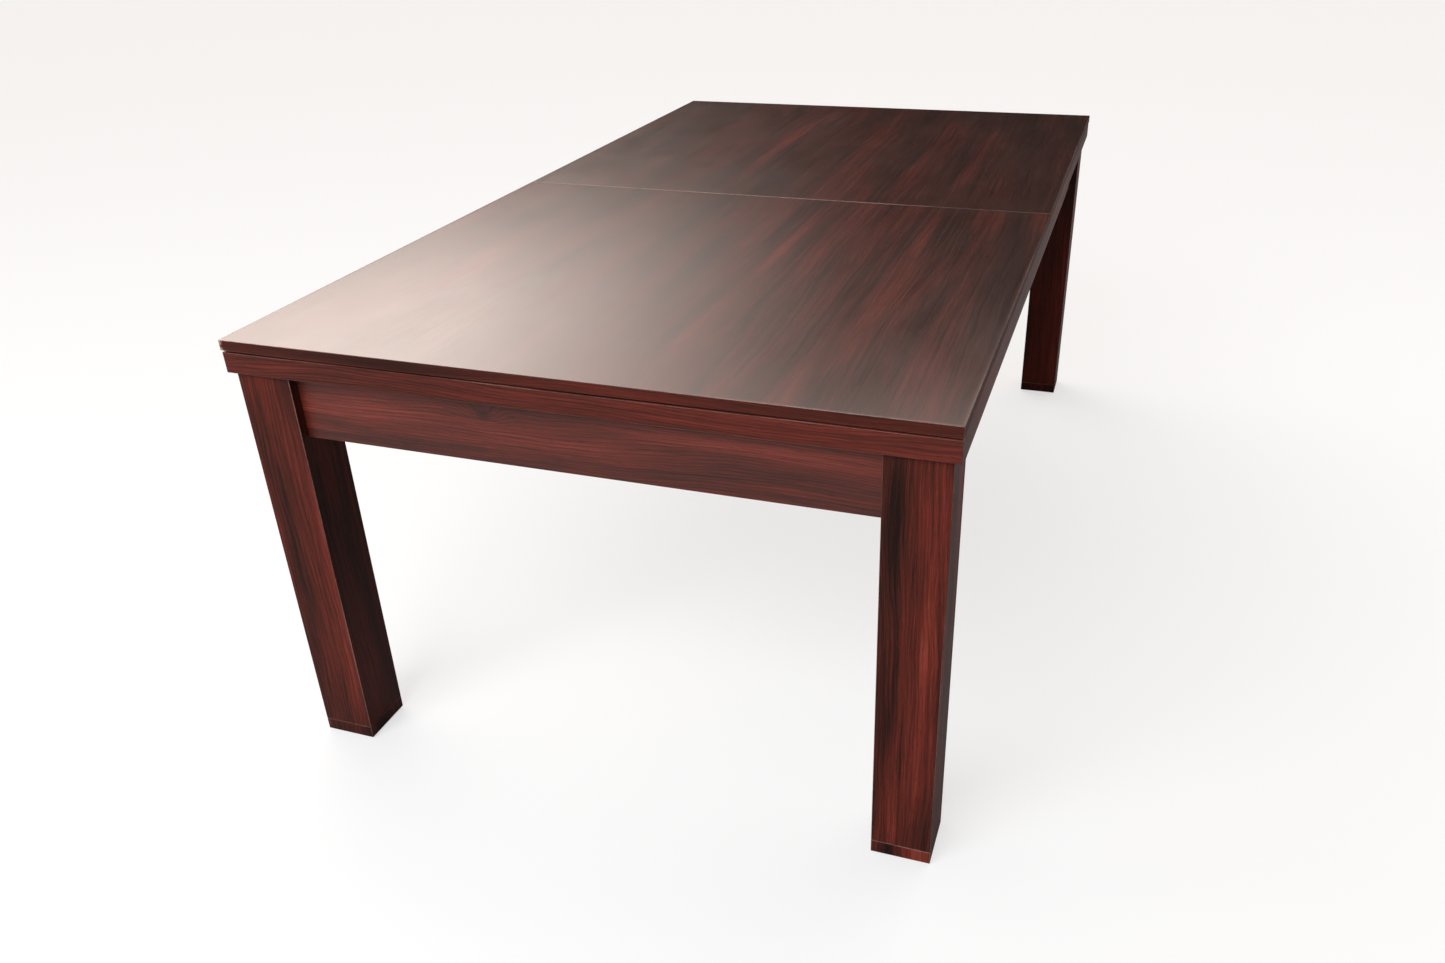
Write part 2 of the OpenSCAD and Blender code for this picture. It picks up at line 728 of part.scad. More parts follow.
if (wanted("cushion_rubbers_side")) color(rubber) for (s = sides, e = ends) side_cushion(s[1], e[1], cloth_t);
if (wanted("rail_packers")) rail_packers();
if (wanted("bed_cloth")) bed_cloth();
if (wanted("bed_board")) bed_board();
if (wanted("ledger_strips")) ledger_strips();
if (wanted("cross_beams_inner")) cross_beams(beam_inner);
if (wanted("cross_beams_outer")) cross_beams(half_l - beam_inset);
if (wanted("spine_beam")) spine_beam();
if (wanted("beam_brackets")) beam_brackets();
if (wanted("corner_brackets")) corner_brackets();
if (wanted("leg_bolts")) leg_bolts();
if (wanted("rail_bolts")) rail_bolts();
if (wanted("leg_top_blocks")) leg_top_blocks();
if (wanted("foot_inserts")) foot_inserts();
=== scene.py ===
import math

import bmesh
import bpy
import numpy as np
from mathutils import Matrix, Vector


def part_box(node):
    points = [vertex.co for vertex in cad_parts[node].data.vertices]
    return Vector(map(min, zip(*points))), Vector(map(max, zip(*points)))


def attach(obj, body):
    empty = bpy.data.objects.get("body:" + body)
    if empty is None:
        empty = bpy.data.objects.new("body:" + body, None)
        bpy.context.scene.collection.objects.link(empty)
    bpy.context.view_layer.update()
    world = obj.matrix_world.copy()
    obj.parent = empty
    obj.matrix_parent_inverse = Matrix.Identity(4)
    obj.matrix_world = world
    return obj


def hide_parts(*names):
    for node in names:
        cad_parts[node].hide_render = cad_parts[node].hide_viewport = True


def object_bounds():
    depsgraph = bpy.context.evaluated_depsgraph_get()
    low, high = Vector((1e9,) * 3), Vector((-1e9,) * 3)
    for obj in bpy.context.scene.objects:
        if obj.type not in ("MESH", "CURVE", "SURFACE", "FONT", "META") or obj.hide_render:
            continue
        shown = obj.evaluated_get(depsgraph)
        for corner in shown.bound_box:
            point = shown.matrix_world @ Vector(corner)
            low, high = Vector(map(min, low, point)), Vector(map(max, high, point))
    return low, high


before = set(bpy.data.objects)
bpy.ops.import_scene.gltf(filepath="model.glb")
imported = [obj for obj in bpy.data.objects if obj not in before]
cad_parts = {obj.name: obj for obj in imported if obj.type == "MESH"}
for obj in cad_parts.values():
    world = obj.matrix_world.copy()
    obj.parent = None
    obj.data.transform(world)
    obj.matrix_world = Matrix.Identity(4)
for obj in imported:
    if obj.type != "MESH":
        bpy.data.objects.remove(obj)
cad_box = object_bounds()


# ---------------------------------------------------------------- camera
# A wide-angle camera at eye height, in front of the near end and a little
# to the right of the table's middle, which looks down along the table.
camera_place = (0.788, -2.415, 1.467)
camera_turn = (61.386, 1.347, 18.356)
camera_lens = 28.65
camera_shift = (-0.0265, 0.0033)
camera_data = bpy.data.cameras.new("camera")
camera_data.lens = camera_lens
camera_data.shift_x, camera_data.shift_y = camera_shift
camera = bpy.data.objects.new("camera", camera_data)
camera.location = camera_place
camera.rotation_euler = [math.radians(angle) for angle in camera_turn]
bpy.context.scene.collection.objects.link(camera)
bpy.context.scene.camera = camera


# --------------------------------------------------------- dining boards
# Two chipboard panels with a printed mahogany decor under semi-gloss melamine
# resin. Their edges are closed by 1 mm plastic bands, glued on, trimmed flush
# and rounded, with a hair-fine glue line between band and face.
band = 0.0010
glue_line = 0.00035
glue_depth = 0.00012
face_inset = 0.006
corner_steps = 5
widest_edge = 0.003
full_edge_lean = 0.18

darkest = (0.012, 0.0050, 0.0040)
dark_brown = (0.031, 0.0095, 0.0075)
mahogany = (0.070, 0.0150, 0.0105)
red_brown = (0.125, 0.0215, 0.0145)
bright_red = (0.215, 0.041, 0.029)
# The pale core where the print is worn. It is also laid along the edges as a painted highlight where they
# glint
worn_edge_and_glint = (0.36, 0.235, 0.20)

# Cells of noise per metre along the grain, across it and from sheet to sheet
drift_cells = (1.7, 7.0, 1.0)
ripple_cells = (7.0, 34.0, 1.0)
figure_cells = (1.8, 15.0, 1.0)
streak_cells = (3.2, 170.0, 1.0)
fibre_cells = (15.0, 560.0, 1.0)
ring_cells = (1.5, 9.0, 1.0)
pore_cells = (45.0, 1300.0, 1.0)
rub_and_glint_cells = (2.2, 2.2, 1.0)
chip_cells = (70.0, 70.0, 1.0)
wipe_cells = (6.0, 9.0, 1.0)
swell_cells = (260.0, 260.0, 1.0)

# Nearly all of a noise lies between these
noise_low, noise_high = 0.3, 0.7

# How far the grain wanders sideways, in metres, its parts' shares of the tone, and what a knot does
# to it: how far it bends the rings, how dark it is, and how many times its size both reach
drift = 0.024
ripple = 0.003
figure_share, streak_share, fibre_share = 0.42, 0.30, 0.28
base_tone = 0.010
ring_wander = 8.0
knot_bend = 3.5
knot_dark = 0.13
bend_length, bend_width, eye_length = 4.0, 2.0, 1.5
resin_relief = 0.00006

# Where faces are cut from the print: from sheet to sheet, from side to side, and the first of all
sheet_apart = 10.0
side_apart = 1.37
first_cut = 0.5

# How far a normal points along the grain from which a face shows end grain, and how far up it
# points at most on an upright face
end_grain_from = 0.6
upright_within = 0.02


def add(tree, kind, inputs=None, **settings):
    """Adds a node with its settings. An input is a value, or the output that is linked to it."""
    made = tree.nodes.new(kind)
    for key, value in settings.items():
        setattr(made, key, value)
    for key, value in (inputs or {}).items():
        if isinstance(value, bpy.types.NodeSocket):
            tree.links.new(value, made.inputs[key])
        else:
            made.inputs[key].default_value = value
    return made


def calc(tree, operation, *values, clamp=False):
    """One step of arithmetic on numbers."""
    made = add(tree, "ShaderNodeMath", dict(enumerate(values)), operation=operation)
    made.use_clamp = clamp
    return made.outputs[0]


def split(tree, vector):
    """A vector's x, y and z."""
    return add(tree, "ShaderNodeSeparateXYZ", {0: vector}).outputs


def noise(tree, place, stretch, detail=2.0, roughness=0.5):
    """Soft noise from 0 to 1 with the given number of cells per metre along each axis."""
    scaled = add(tree, "ShaderNodeVectorMath", {0: place, 1: stretch}, operation="MULTIPLY")
    return add(tree, "ShaderNodeTexNoise", {"Vector": scaled.outputs[0], "Scale": 1.0,
               "Detail": detail, "Roughness": roughness}).outputs["Fac"]


def spread(tree, value, low, high, to_low=0.0, to_high=1.0):
    """Stretches a value's range from low..high to to_low..to_high, with its ends held."""
    return add(tree, "ShaderNodeMapRange", {"Value": value, "From Min": low, "From Max": high,
               "To Min": to_low, "To Max": to_high}).outputs[0]


def ramp(tree, value, stops):
    """A colour from a value, through (position, colour) stops."""
    made = add(tree, "ShaderNodeValToRGB", {"Fac": value})
    stops_list = made.color_ramp.elements
    while len(stops_list) < len(stops):
        stops_list.new(0.5)
    for stop, (position, colour) in zip(stops_list, stops):
        stop.position = position
        stop.color = (*colour, 1.0)
    return made.outputs["Color"]


def mix(tree, share, first, second):
    """Second colour over the first, by share."""
    made = add(tree, "ShaderNodeMix", data_type="RGBA")
    for socket, value in ((made.inputs[0], share), (made.inputs[6], first), (made.inputs[7], second)):
        if isinstance(value, bpy.types.NodeSocket):
            tree.links.new(value, socket)
        else:
            socket.default_value = (*value, 1.0) if isinstance(value, tuple) else value
    return made.outputs[2]


def new_material(name, **constants):
    """An empty material and its shader, with the sockets that are the same all over set by name."""
    material = bpy.data.materials.new(name)
    material.use_nodes = True
    shader = material.node_tree.nodes["Principled BSDF"]
    for key, value in constants.items():
        shader.inputs[key.replace("_", " ").title().replace("Ior", "IOR")].default_value = value
    return material, material.node_tree, shader


def bumped(tree, shader, height, strength, distance):
    """Gives the shader a relief: a height value, its strength, and what a height of 1 is in metres."""
    relief = add(tree, "ShaderNodeBump", {"Height": height, "Strength": strength, "Distance": distance})
    tree.links.new(relief.outputs[0], shader.inputs["Normal"])


def object_place(tree):
    """The piece's own coordinates in metres."""
    return add(tree, "ShaderNodeTexCoord").outputs["Object"]


def pattern_place(tree):
    """The piece's own pattern coordinates: metres along, metres across, and the sheet's number."""
    return add(tree, "ShaderNodeAttribute", attribute_name="grain").outputs["Vector"]


def distance_from(tree, point):
    """The distance to a point of the object in metres."""
    return add(tree, "ShaderNodeVectorMath", {0: object_place(tree), 1: point},
               operation="DISTANCE").outputs["Value"]


def bell(tree, axes, x, y, length, width):
    """exp(−((along − x)/length)² − ((across − y)/width)²): 1 at the place (x, y), fading round it."""
    run = calc(tree, "POWER", calc(tree, "DIVIDE", calc(tree, "SUBTRACT", axes[0], x), length), 2.0)
    reach = calc(tree, "POWER", calc(tree, "DIVIDE", calc(tree, "SUBTRACT", axes[1], y), width), 2.0)
    return calc(tree, "EXPONENT", calc(tree, "MULTIPLY", calc(tree, "ADD", run, reach), -1.0))


def wood_figure(tree, place, knots, rings_per_metre, ring_depth):
    """The tone of sawn mahogany, with its streaks and fibres. The tone is a sum of three noises that are
    long along the grain, which are broad figure, streaks and fibres, less growth rings: the cube of the
    part of rings × across + wander × slow noise beyond a whole number. The across coordinate first
    drifts and ripples, so that all of them wander. A knot (x, y, size), in metres from the piece's
    middle, bends the rings round a dark eye."""
    drifting = spread(tree, noise(tree, place, drift_cells, 3.0), 0, 1, -drift, drift)
    rippling = spread(tree, noise(tree, place, ripple_cells, 3.0, 0.6), 0, 1, -ripple, ripple)
    shift = add(tree, "ShaderNodeCombineXYZ", {"Y": calc(tree, "ADD", drifting, rippling)}).outputs[0]
    wandering = add(tree, "ShaderNodeVectorMath", {0: place, 1: shift}, operation="ADD").outputs[0]
    figure = noise(tree, wandering, figure_cells, 2.0, 0.55)
    streaks = noise(tree, wandering, streak_cells, 4.0, 0.65)
    fibres = noise(tree, wandering, fibre_cells, 3.0, 0.75)
    tone = calc(tree, "MULTIPLY_ADD", fibres, fibre_share, base_tone)
    tone = calc(tree, "MULTIPLY_ADD", streaks, streak_share, tone)
    tone = calc(tree, "MULTIPLY_ADD", figure, figure_share, tone)
    phase = calc(tree, "MULTIPLY", noise(tree, wandering, ring_cells, 1.0), ring_wander)
    still = split(tree, place)
    for x, y, size in knots:
        bend = bell(tree, still, x, y, bend_length * size, bend_width * size)
        phase = calc(tree, "MULTIPLY_ADD", bend, knot_bend, phase)
        eye = bell(tree, still, x, y, eye_length * size, size)
        tone = calc(tree, "MULTIPLY_ADD", eye, -knot_dark, tone)
    across = split(tree, wandering)[1]
    rings = calc(tree, "FRACT", calc(tree, "MULTIPLY_ADD", across, rings_per_metre, phase))
    tone = calc(tree, "MULTIPLY_ADD", calc(tree, "POWER", rings, 3.0), -ring_depth, tone)
    return tone, streaks, fibres


def edge_wear_and_glint(tree, place, rubbed_and_glinting, chipped):
    """How much of the pale edge colour shows, from 0 to 1. It is partly bare print and partly a painted
    highlight where the edges glint. It is the edge value × slow noise, for where hands have rubbed it and
    the edges glint, × fine noise, for a ragged rim. Each such place (point, reach, change) changes this
    by that much at a point of the object and by less out to the reach. Round a chipped place (point,
    reach), the print is lost out to half the reach and a ragged part of the other half."""
    edge = add(tree, "ShaderNodeAttribute", attribute_name="edge").outputs["Fac"]
    worn_and_glinting = spread(tree, noise(tree, place, rub_and_glint_cells, 2.0), 0.44, 0.60, 0.06, 0.9)
    for point, reach, change in rubbed_and_glinting:
        more = spread(tree, distance_from(tree, point), 0, reach, change, 0)
        worn_and_glinting = calc(tree, "ADD", worn_and_glinting, more, clamp=True)
    ragged = spread(tree, noise(tree, place, chip_cells, 3.0, 0.7), 0.35, 0.60, 0.30, 1.0)
    bare_and_glinting = calc(tree, "MULTIPLY", edge, calc(tree, "MULTIPLY", worn_and_glinting, ragged))
    for point, reach in chipped:
        beyond = calc(tree, "MULTIPLY_ADD", ragged, -reach / 2, distance_from(tree, point))
        bare_and_glinting = calc(tree, "MAXIMUM", bare_and_glinting, spread(tree, beyond, 0, reach / 2, 1, 0))
    return bare_and_glinting


def laminate(name, marks=(), knots=(), rubbed_and_glinting=(), chipped=(), contrast=0.8, darker=0.0,
             rings_per_metre=70.0, ring_depth=0.04, shine=0.2, roughness=0.40):
    """The printed mahogany decor under its resin. The wood's tone, made darker, is drawn in to 0.5 ±
    contrast / 2 and picks a colour from near-black to bright red, with dark pores over it. Each mark
    (x, y, length, width, change) changes the tone by a bell at its place, in metres from the piece's
    middle, as a streak or a band. Worn edges show the pale core. The same pale colour is also laid along
    the edges as a painted highlight where they glint. The resin's relief is a swell with the fibres on it
    and the pores sunk in, and its roughness varies with wipe marks and streaks."""
    material, tree, shader = new_material(name, specular_ior_level=shine)
    place = pattern_place(tree)
    figure, streaks, fibres = wood_figure(tree, place, knots, rings_per_metre, ring_depth)
    tone = calc(tree, "SUBTRACT", figure, darker)
    tone = spread(tree, tone, 0, 1, 0.5 - contrast / 2, 0.5 + contrast / 2)
    still = split(tree, place)
    for x, y, length, width, change in marks:
        tone = calc(tree, "MULTIPLY_ADD", bell(tree, still, x, y, length, width), change, tone)
    colour = ramp(tree, tone, [(0.37, darkest), (0.44, dark_brown), (0.50, mahogany),
                               (0.56, red_brown), (0.64, bright_red)])
    pores = spread(tree, noise(tree, place, pore_cells, 1.0), 0.62, 0.70)
    colour = mix(tree, calc(tree, "MULTIPLY", pores, 0.5), colour, darkest)
    colour = mix(tree, edge_wear_and_glint(tree, place, rubbed_and_glinting, chipped), colour, worn_edge_and_glint)
    tree.links.new(colour, shader.inputs["Base Color"])
    wiped = spread(tree, noise(tree, place, wipe_cells, 4.0, 0.6), noise_low, noise_high,
                   roughness - 0.04, roughness - 0.01)
    tree.links.new(calc(tree, "MULTIPLY_ADD", streaks, 0.05, wiped), shader.inputs["Roughness"])
    swell = noise(tree, place, swell_cells, 2.0)
    height = calc(tree, "SUBTRACT", calc(tree, "MULTIPLY_ADD", fibres, 0.35, swell),
                  calc(tree, "MULTIPLY", pores, 0.5))
    bumped(tree, shader, height, 0.25, resin_relief)
    return material


def inset(outline, distance):
    """The outline drawn in by a distance: each point moves along the bisector of its edges' inward
    normals, by distance / (1 + the cosine between them) times their sum."""
    edge = np.roll(outline, -1, axis=0) - outline
    normal = np.stack([-edge[:, 1], edge[:, 0]], axis=1)
    normal /= np.linalg.norm(normal, axis=1, keepdims=True)
    before = np.roll(normal, 1, axis=0)
    return outline + distance * (normal + before) / (1 + (normal * before).sum(axis=1))[:, None]


def rectangle(lo, hi, radius, drawn_in=0.0, steps=corner_steps):
    """A rectangle with rounded corners: centre ± (half size − radius) + radius (cos a, sin a), for a
    through each quarter turn. Drawn in, it loses as much from half size and radius."""
    angle = np.concatenate([np.linspace(0, 90, steps) + quarter for quarter in (0, 90, 180, 270)])
    direction = np.stack([np.cos(np.radians(angle)), np.sin(np.radians(angle))], axis=1)
    quadrant = np.repeat([(1, 1), (-1, 1), (-1, -1), (1, -1)], steps, axis=0)
    lo, hi = np.array(lo[:2]) + drawn_in, np.array(hi[:2]) - drawn_in
    radius = max(radius - drawn_in, 0)
    return (lo + hi) / 2 + quadrant * ((hi - lo) / 2 - radius) + radius * direction


def skin(name, rings):
    """A closed skin over rings of points, each counter-clockwise seen from the last ring's side: quads
    join ring to ring, and one face closes each end."""
    count, size = rings.shape[:2]
    start = np.arange(count - 1)[:, None] * size
    here, following = np.arange(size), np.roll(np.arange(size), -1)
    quads = np.stack([start + here, start + following, start + size + following, start + size + here],
                     axis=-1)
    ends = [here[::-1].tolist(), (here + (count - 1) * size).tolist()]
    mesh = bpy.data.meshes.new(name)
    mesh.from_pydata(rings.reshape(-1, 3).tolist(), [], quads.reshape(-1, 4).tolist() + ends)
    tidy(mesh)
    return mesh


def tidy(mesh):
    """Merges points that coincide and drops the faces that this closes up."""
    form = bmesh.new()
    form.from_mesh(mesh)
    bmesh.ops.remove_doubles(form, verts=form.verts, dist=1e-6)
    bmesh.ops.dissolve_degenerate(form, edges=form.edges, dist=1e-7)
    form.to_mesh(mesh)
    form.free()


def plate(name, outline_at, profile):
    """A flat board: its outline at each inset of the profile, at that height."""
    return skin(name, np.array([np.insert(outline_at(d), 2, z, axis=1) for d, z in profile]))


def rounded_profile(low, high, radius, steps=corner_steps):
    """Inset radius (1 − sin a) at height radius (1 − cos a) above the lower face, and the same down
    from the upper one, for a from 0 to 90 degrees."""
    angle = np.linspace(0, math.pi / 2, steps)
    drawn_in, rise = radius * (1 - np.sin(angle)), radius * (1 - np.cos(angle))
    return list(zip(drawn_in, low + rise)) + list(zip(drawn_in[::-1], high - rise[::-1]))


def values_of(items, key, width=1, kind=float):
    """One value, or a row of them, for each of a mesh's points, faces or face corners."""
    values = np.empty(len(items) * width, kind)
    items.foreach_get(key, values)
    return values.reshape(-1, width) if width > 1 else values


def lay_grain(mesh, along, sheet=0):
    """Gives each face corner its place in the pattern: metres along and across the grain from the
    piece's middle, and a number for the sheet that its face is cut from. On a face that looks along the
    grain, the pattern runs level, as on a band. Narrow slanting faces get the edge value, which is
    0 on a face square to the axes and 1 from a lean of about 35 degrees."""
    points, normals = values_of(mesh.vertices, "co", 3), values_of(mesh.polygons, "normal", 3)
    areas = values_of(mesh.polygons, "area")
    sizes = values_of(mesh.polygons, "loop_total", kind=int)
    starts = values_of(mesh.polygons, "loop_start", kind=int)
    corners = values_of(mesh.loops, "vertex_index", kind=int)
    middle = (points.min(axis=0) + points.max(axis=0)) / 2

    along = np.array(along, float)
    level = np.cross(normals, (0, 0, 1))
    length = np.linalg.norm(level, axis=1, keepdims=True)
    level = np.where(length > 1e-4, level / np.maximum(length, 1e-4), (1, 0, 0))
    grain = np.where((np.abs(normals @ along) > end_grain_from)[:, None], level, along)
    across = np.cross(normals, grain)
    widest = np.abs(normals).argmax(axis=1)
    side = widest * 2 + (np.take_along_axis(normals, widest[:, None], axis=1)[:, 0] > 0)

    place = points[corners] - middle
    pattern = np.stack([(place * np.repeat(grain, sizes, axis=0)).sum(axis=1),
                        (place * np.repeat(across, sizes, axis=0)).sum(axis=1),
                        np.repeat(sheet_apart * sheet + side_apart * side + first_cut, sizes)], axis=1)
    mesh.attributes.new("grain", "FLOAT_VECTOR", "CORNER").data.foreach_set("vector", pattern.ravel())

    following = np.arange(len(corners)) + 1
    following[starts + sizes - 1] = starts
    lengths = np.linalg.norm(points[corners[following]] - points[corners], axis=1)
    width = 2 * areas / np.maximum(np.add.reduceat(lengths, starts), 1e-9)
    lean = 1 - np.abs(normals).max(axis=1)
    edge = np.where(width < widest_edge, np.clip(lean / full_edge_lean, 0, 1), 0)
    mesh.attributes.new("edge", "FLOAT", "FACE").data.foreach_set("value", edge)


def place_piece(mesh, material, body="frame", stands_for=(), smooth=35):
    """Puts a finished mesh in the scene: smooth where its faces meet under the given angle, with the
    large faces' normals kept flat, riding on its body in place of the CAD nodes that it stands for."""
    mesh.shade_smooth()
    mesh.set_sharp_from_angle(angle=math.radians(smooth))
    mesh.materials.append(material)
    made = bpy.data.objects.new(mesh.name, mesh)
    bpy.context.scene.collection.objects.link(made)
    flatten = made.modifiers.new("large faces first", "WEIGHTED_NORMAL")
    flatten.keep_sharp = True
    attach(made, body)
    if stands_for:
        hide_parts(*stands_for)
    return made


def band_edges(board, material):
    """Gives a board's upright faces the edge band's finish."""
    board.materials.append(material)
    upright = np.abs(values_of(board.polygons, "normal", 3)[:, 2]) < upright_within
    board.polygons.foreach_set("material_index", upright.astype(int))


# The print's streaks and bands on each board, and where the pale edges show more or less than elsewhere.
# These pale edges are partly rubbed print and partly a painted highlight where the edges glint. The chips
# on the near left corner are given by their drop from the top and their reach
board_marks = {
    "near": [(0.22, -0.135, 0.22, 0.013, 0.085), (0.36, -0.38, 0.18, 0.014, 0.070),
             (0.10, -0.40, 0.25, 0.050, 0.02), (-0.05, 0.41, 0.22, 0.030, 0.05),
             (0.0, -0.60, 2.0, 0.20, -0.02)],
    "far": [(-0.25, -0.378, 0.20, 0.014, 0.065), (0.15, -0.378, 0.15, 0.018, 0.050),
            (-0.15, -0.25, 0.25, 0.016, 0.045), (-0.10, 0.135, 0.35, 0.018, 0.060),
            (0.0, -0.55, 2.0, 0.35, -0.035)],
}
left, near, top = cad_box[0].x, cad_box[0].y, cad_box[1].z
board_wear_and_glint = [((left, near, top), 0.30, 0.9), ((-left, 0.0, top), 0.38, -1.5),
                ((-0.25, 0.0, top), 0.62, 1.5)]
chips = [(0.003, 0.011), (0.016, 0.008)]
board_chipped = [((left, near, top - drop), reach) for drop, reach in chips]
edge_band = laminate("mahogany_edge_band", rubbed_and_glinting=board_wear_and_glint, chipped=board_chipped, contrast=0.55,
                     rings_per_metre=230.0, ring_depth=0.08, shine=0.15, roughness=0.5)
for sheet, end in enumerate(("near", "far")):
    lo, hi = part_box(f"dining_board_{end}")
    line = [(face_inset, 0), (band + glue_line, 0), (band + glue_line / 2, glue_depth), (band, 0)]
    profile = ([(d, lo.z + depth) for d, depth in line]
               + rounded_profile(lo.z, hi.z, band) + [(d, hi.z - depth) for d, depth in reversed(line)])
    board = plate(f"dining_panel_{end}", lambda d: rectangle(lo, hi, band, d), profile)
    lay_grain(board, (0, 1, 0), sheet + 1)
    decor = laminate(f"mahogany_laminate_{end}_board", board_marks[end], rubbed_and_glinting=board_wear_and_glint,
                     chipped=board_chipped, contrast=0.48, darker=0.083, shine=0.5, roughness=0.19)
    place_piece(board, decor, f"{end}_board", [f"dining_board_{end}"])
    band_edges(board, edge_band)


# ------------------------------------------------------ anti-slip strips
# Three strips of ribbed black rubber under each dining board, glued along its
# free edges, so that the board grips the rails and doesn't mark them.
rib_pitch = 0.0022
rib_relief = 0.0003
rubber_black = (0.018, 0.018, 0.019)
rubber_grey = (0.045, 0.044, 0.042)
strip_round = 0.0004
flat_within = 0.5
sharp_from = 30.0


def dressed(node, name, along, sheet=0, fillet=0.0, shortest=0.02):
    """A merged copy of a CAD node with its flat faces whole and the pattern laid on. Sharp edges longer
    than the shortest are rounded by the fillet."""
    form = bmesh.new()
    form.from_mesh(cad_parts[node].data)
    bmesh.ops.remove_doubles(form, verts=form.verts, dist=1e-5)
    bmesh.ops.dissolve_limit(form, angle_limit=math.radians(flat_within), verts=form.verts,
                             edges=form.edges)
    if fillet:
        sharp = [e for e in form.edges if len(e.link_faces) == 2 and e.calc_length() > shortest
                 and e.calc_face_angle() > math.radians(sharp_from)]
        bmesh.ops.bevel(form, geom=sharp, offset=fillet, offset_type="OFFSET", segments=2, profile=0.5,
                        affect="EDGES", clamp_overlap=True)
    mesh = bpy.data.meshes.new(name)
    form.to_mesh(mesh)
    form.free()
    lay_grain(mesh, along, sheet)
    return mesh


def coloured(tree, shader, value, stops):
    """Colours the shader by a value, through (position, colour) stops."""
    tree.links.new(ramp(tree, value, stops), shader.inputs["Base Color"])


def roughened(tree, shader, value, low, high):
    """Gives the shader a roughness from low to high, which follows a noise."""
    tree.links.new(spread(tree, value, noise_low, noise_high, low, high), shader.inputs["Roughness"])


def ribbed_rubber(name):
    """Black rubber with ribs along the strip: the relief is a sine across it."""
    material, tree, shader = new_material(name, specular_ior_level=0.4)
    place = pattern_place(tree)
    dust = noise(tree, place, (90.0, 160.0, 1.0), 4.0, 0.65)
    coloured(tree, shader, dust, [(0.40, rubber_black), (0.75, rubber_grey)])
    roughened(tree, shader, dust, 0.62, 0.85)
    across = split(tree, place)[1]
    ribs = calc(tree, "SINE", calc(tree, "MULTIPLY", across, 2 * math.pi / rib_pitch))
    bumped(tree, shader, ribs, 0.8, rib_relief)
    return material


grip = ribbed_rubber("grip_rubber")
for end in ("near", "far"):
    place_piece(dressed(f"board_strips_{end}", f"grip_strips_{end}", (1, 0, 0), 0, strip_round), grip,
                f"{end}_board", [f"board_strips_{end}"])


# ----------------------------------------------------------------- rails
# Six rails of doubled board in the same mahogany laminate, mitred at the
# corners and butted behind the side pockets, bored and cut out for the pockets
# and bolted down from under the bed.
edge_round = 0.0004
rail_marks = [(-0.32, 0.000, 0.14, 0.020, 0.035), (0.27, 0.000, 0.22, 0.030, -0.030)]
rail_laminate = laminate("mahogany_laminate_rails", rail_marks, contrast=0.65, darker=-0.030,
                         rings_per_metre=160.0, ring_depth=0.10)
rails = [("rail_near_end", (1, 0, 0)), ("rail_far_end", (1, 0, 0)), ("rail_left_near", (0, 1, 0)),
         ("rail_left_far", (0, 1, 0)), ("rail_right_near", (0, 1, 0)), ("rail_right_far", (0, 1, 0))]
for sheet, (rail, along) in enumerate(rails):
    place_piece(dressed(rail, f"{rail}_veneered", along, sheet + 3, edge_round), rail_laminate,
                stands_for=[rail])


# -------------------------------------------------------------- cushions
# Triangular rubber strips glued to the rails' inner faces. Green wool cloth is
# pulled round each one, tucked in along the rail's top and folded over its ends.
cloth_thickness = 0.001
nose_radius = 0.003
nose_steps = 12
face_steps = 8
tuck = 0.0012
fold = 0.0015
fold_steps = 5
weave_pitch = 0.0009
weave_relief = 0.00025
cloth_green = (0.010, 0.115, 0.052)
cloth_light = (0.022, 0.190, 0.092)
cloth_dark = (0.005, 0.070, 0.030)


def baize(name):
    """Napped wool: two fine waves at right angles for the weave, fibres that lie along the cloth, and
    slow clouds where the nap is brushed another way."""
    material, tree, shader = new_material(name, specular_ior_level=0.15, sheen_weight=0.35,
                                          sheen_roughness=0.45)
    place = pattern_place(tree)
    clouds = noise(tree, place, (5.0, 9.0, 1.0), 3.0, 0.6)
    fibres = noise(tree, place, (320.0, 1500.0, 1.0), 3.0, 0.7)
    fluff = noise(tree, place, (900.0, 900.0, 1.0), 2.0)
    tone = calc(tree, "MULTIPLY_ADD", clouds, 0.35, calc(tree, "MULTIPLY_ADD", fibres, 0.40,
                calc(tree, "MULTIPLY", fluff, 0.25)))
    coloured(tree, shader, tone, [(0.36, cloth_dark), (0.50, cloth_green), (0.66, cloth_light)])
    roughened(tree, shader, fluff, 0.82, 0.96)
    axes = split(tree, place)
    warp, weft = (calc(tree, "SINE", calc(tree, "MULTIPLY", axes[i], 2 * math.pi / weave_pitch))
                  for i in (0, 1))
    weave = calc(tree, "MULTIPLY", warp, weft)
    bumped(tree, shader, calc(tree, "MULTIPLY_ADD", weave, 0.25, fibres), 0.5, weave_relief)
    return material


def plain_rubber(name):
    """Black moulded rubber with a fine, dull skin."""
    material, tree, shader = new_material(name, specular_ior_level=0.35)
    skin_noise = noise(tree, object_place(tree), (500.0, 500.0, 500.0), 3.0, 0.6)
    coloured(tree, shader, skin_noise, [(0.35, rubber_black), (0.70, rubber_grey)])
    roughened(tree, shader, skin_noise, 0.60, 0.80)
    return material


def coat(node, material):
    """Gives a CAD node that stays as it is its finish."""
    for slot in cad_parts[node].material_slots:
        slot.material = material


def node_points(node):
    """A CAD node's points."""
    return values_of(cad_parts[node].data.vertices, "co", 3)


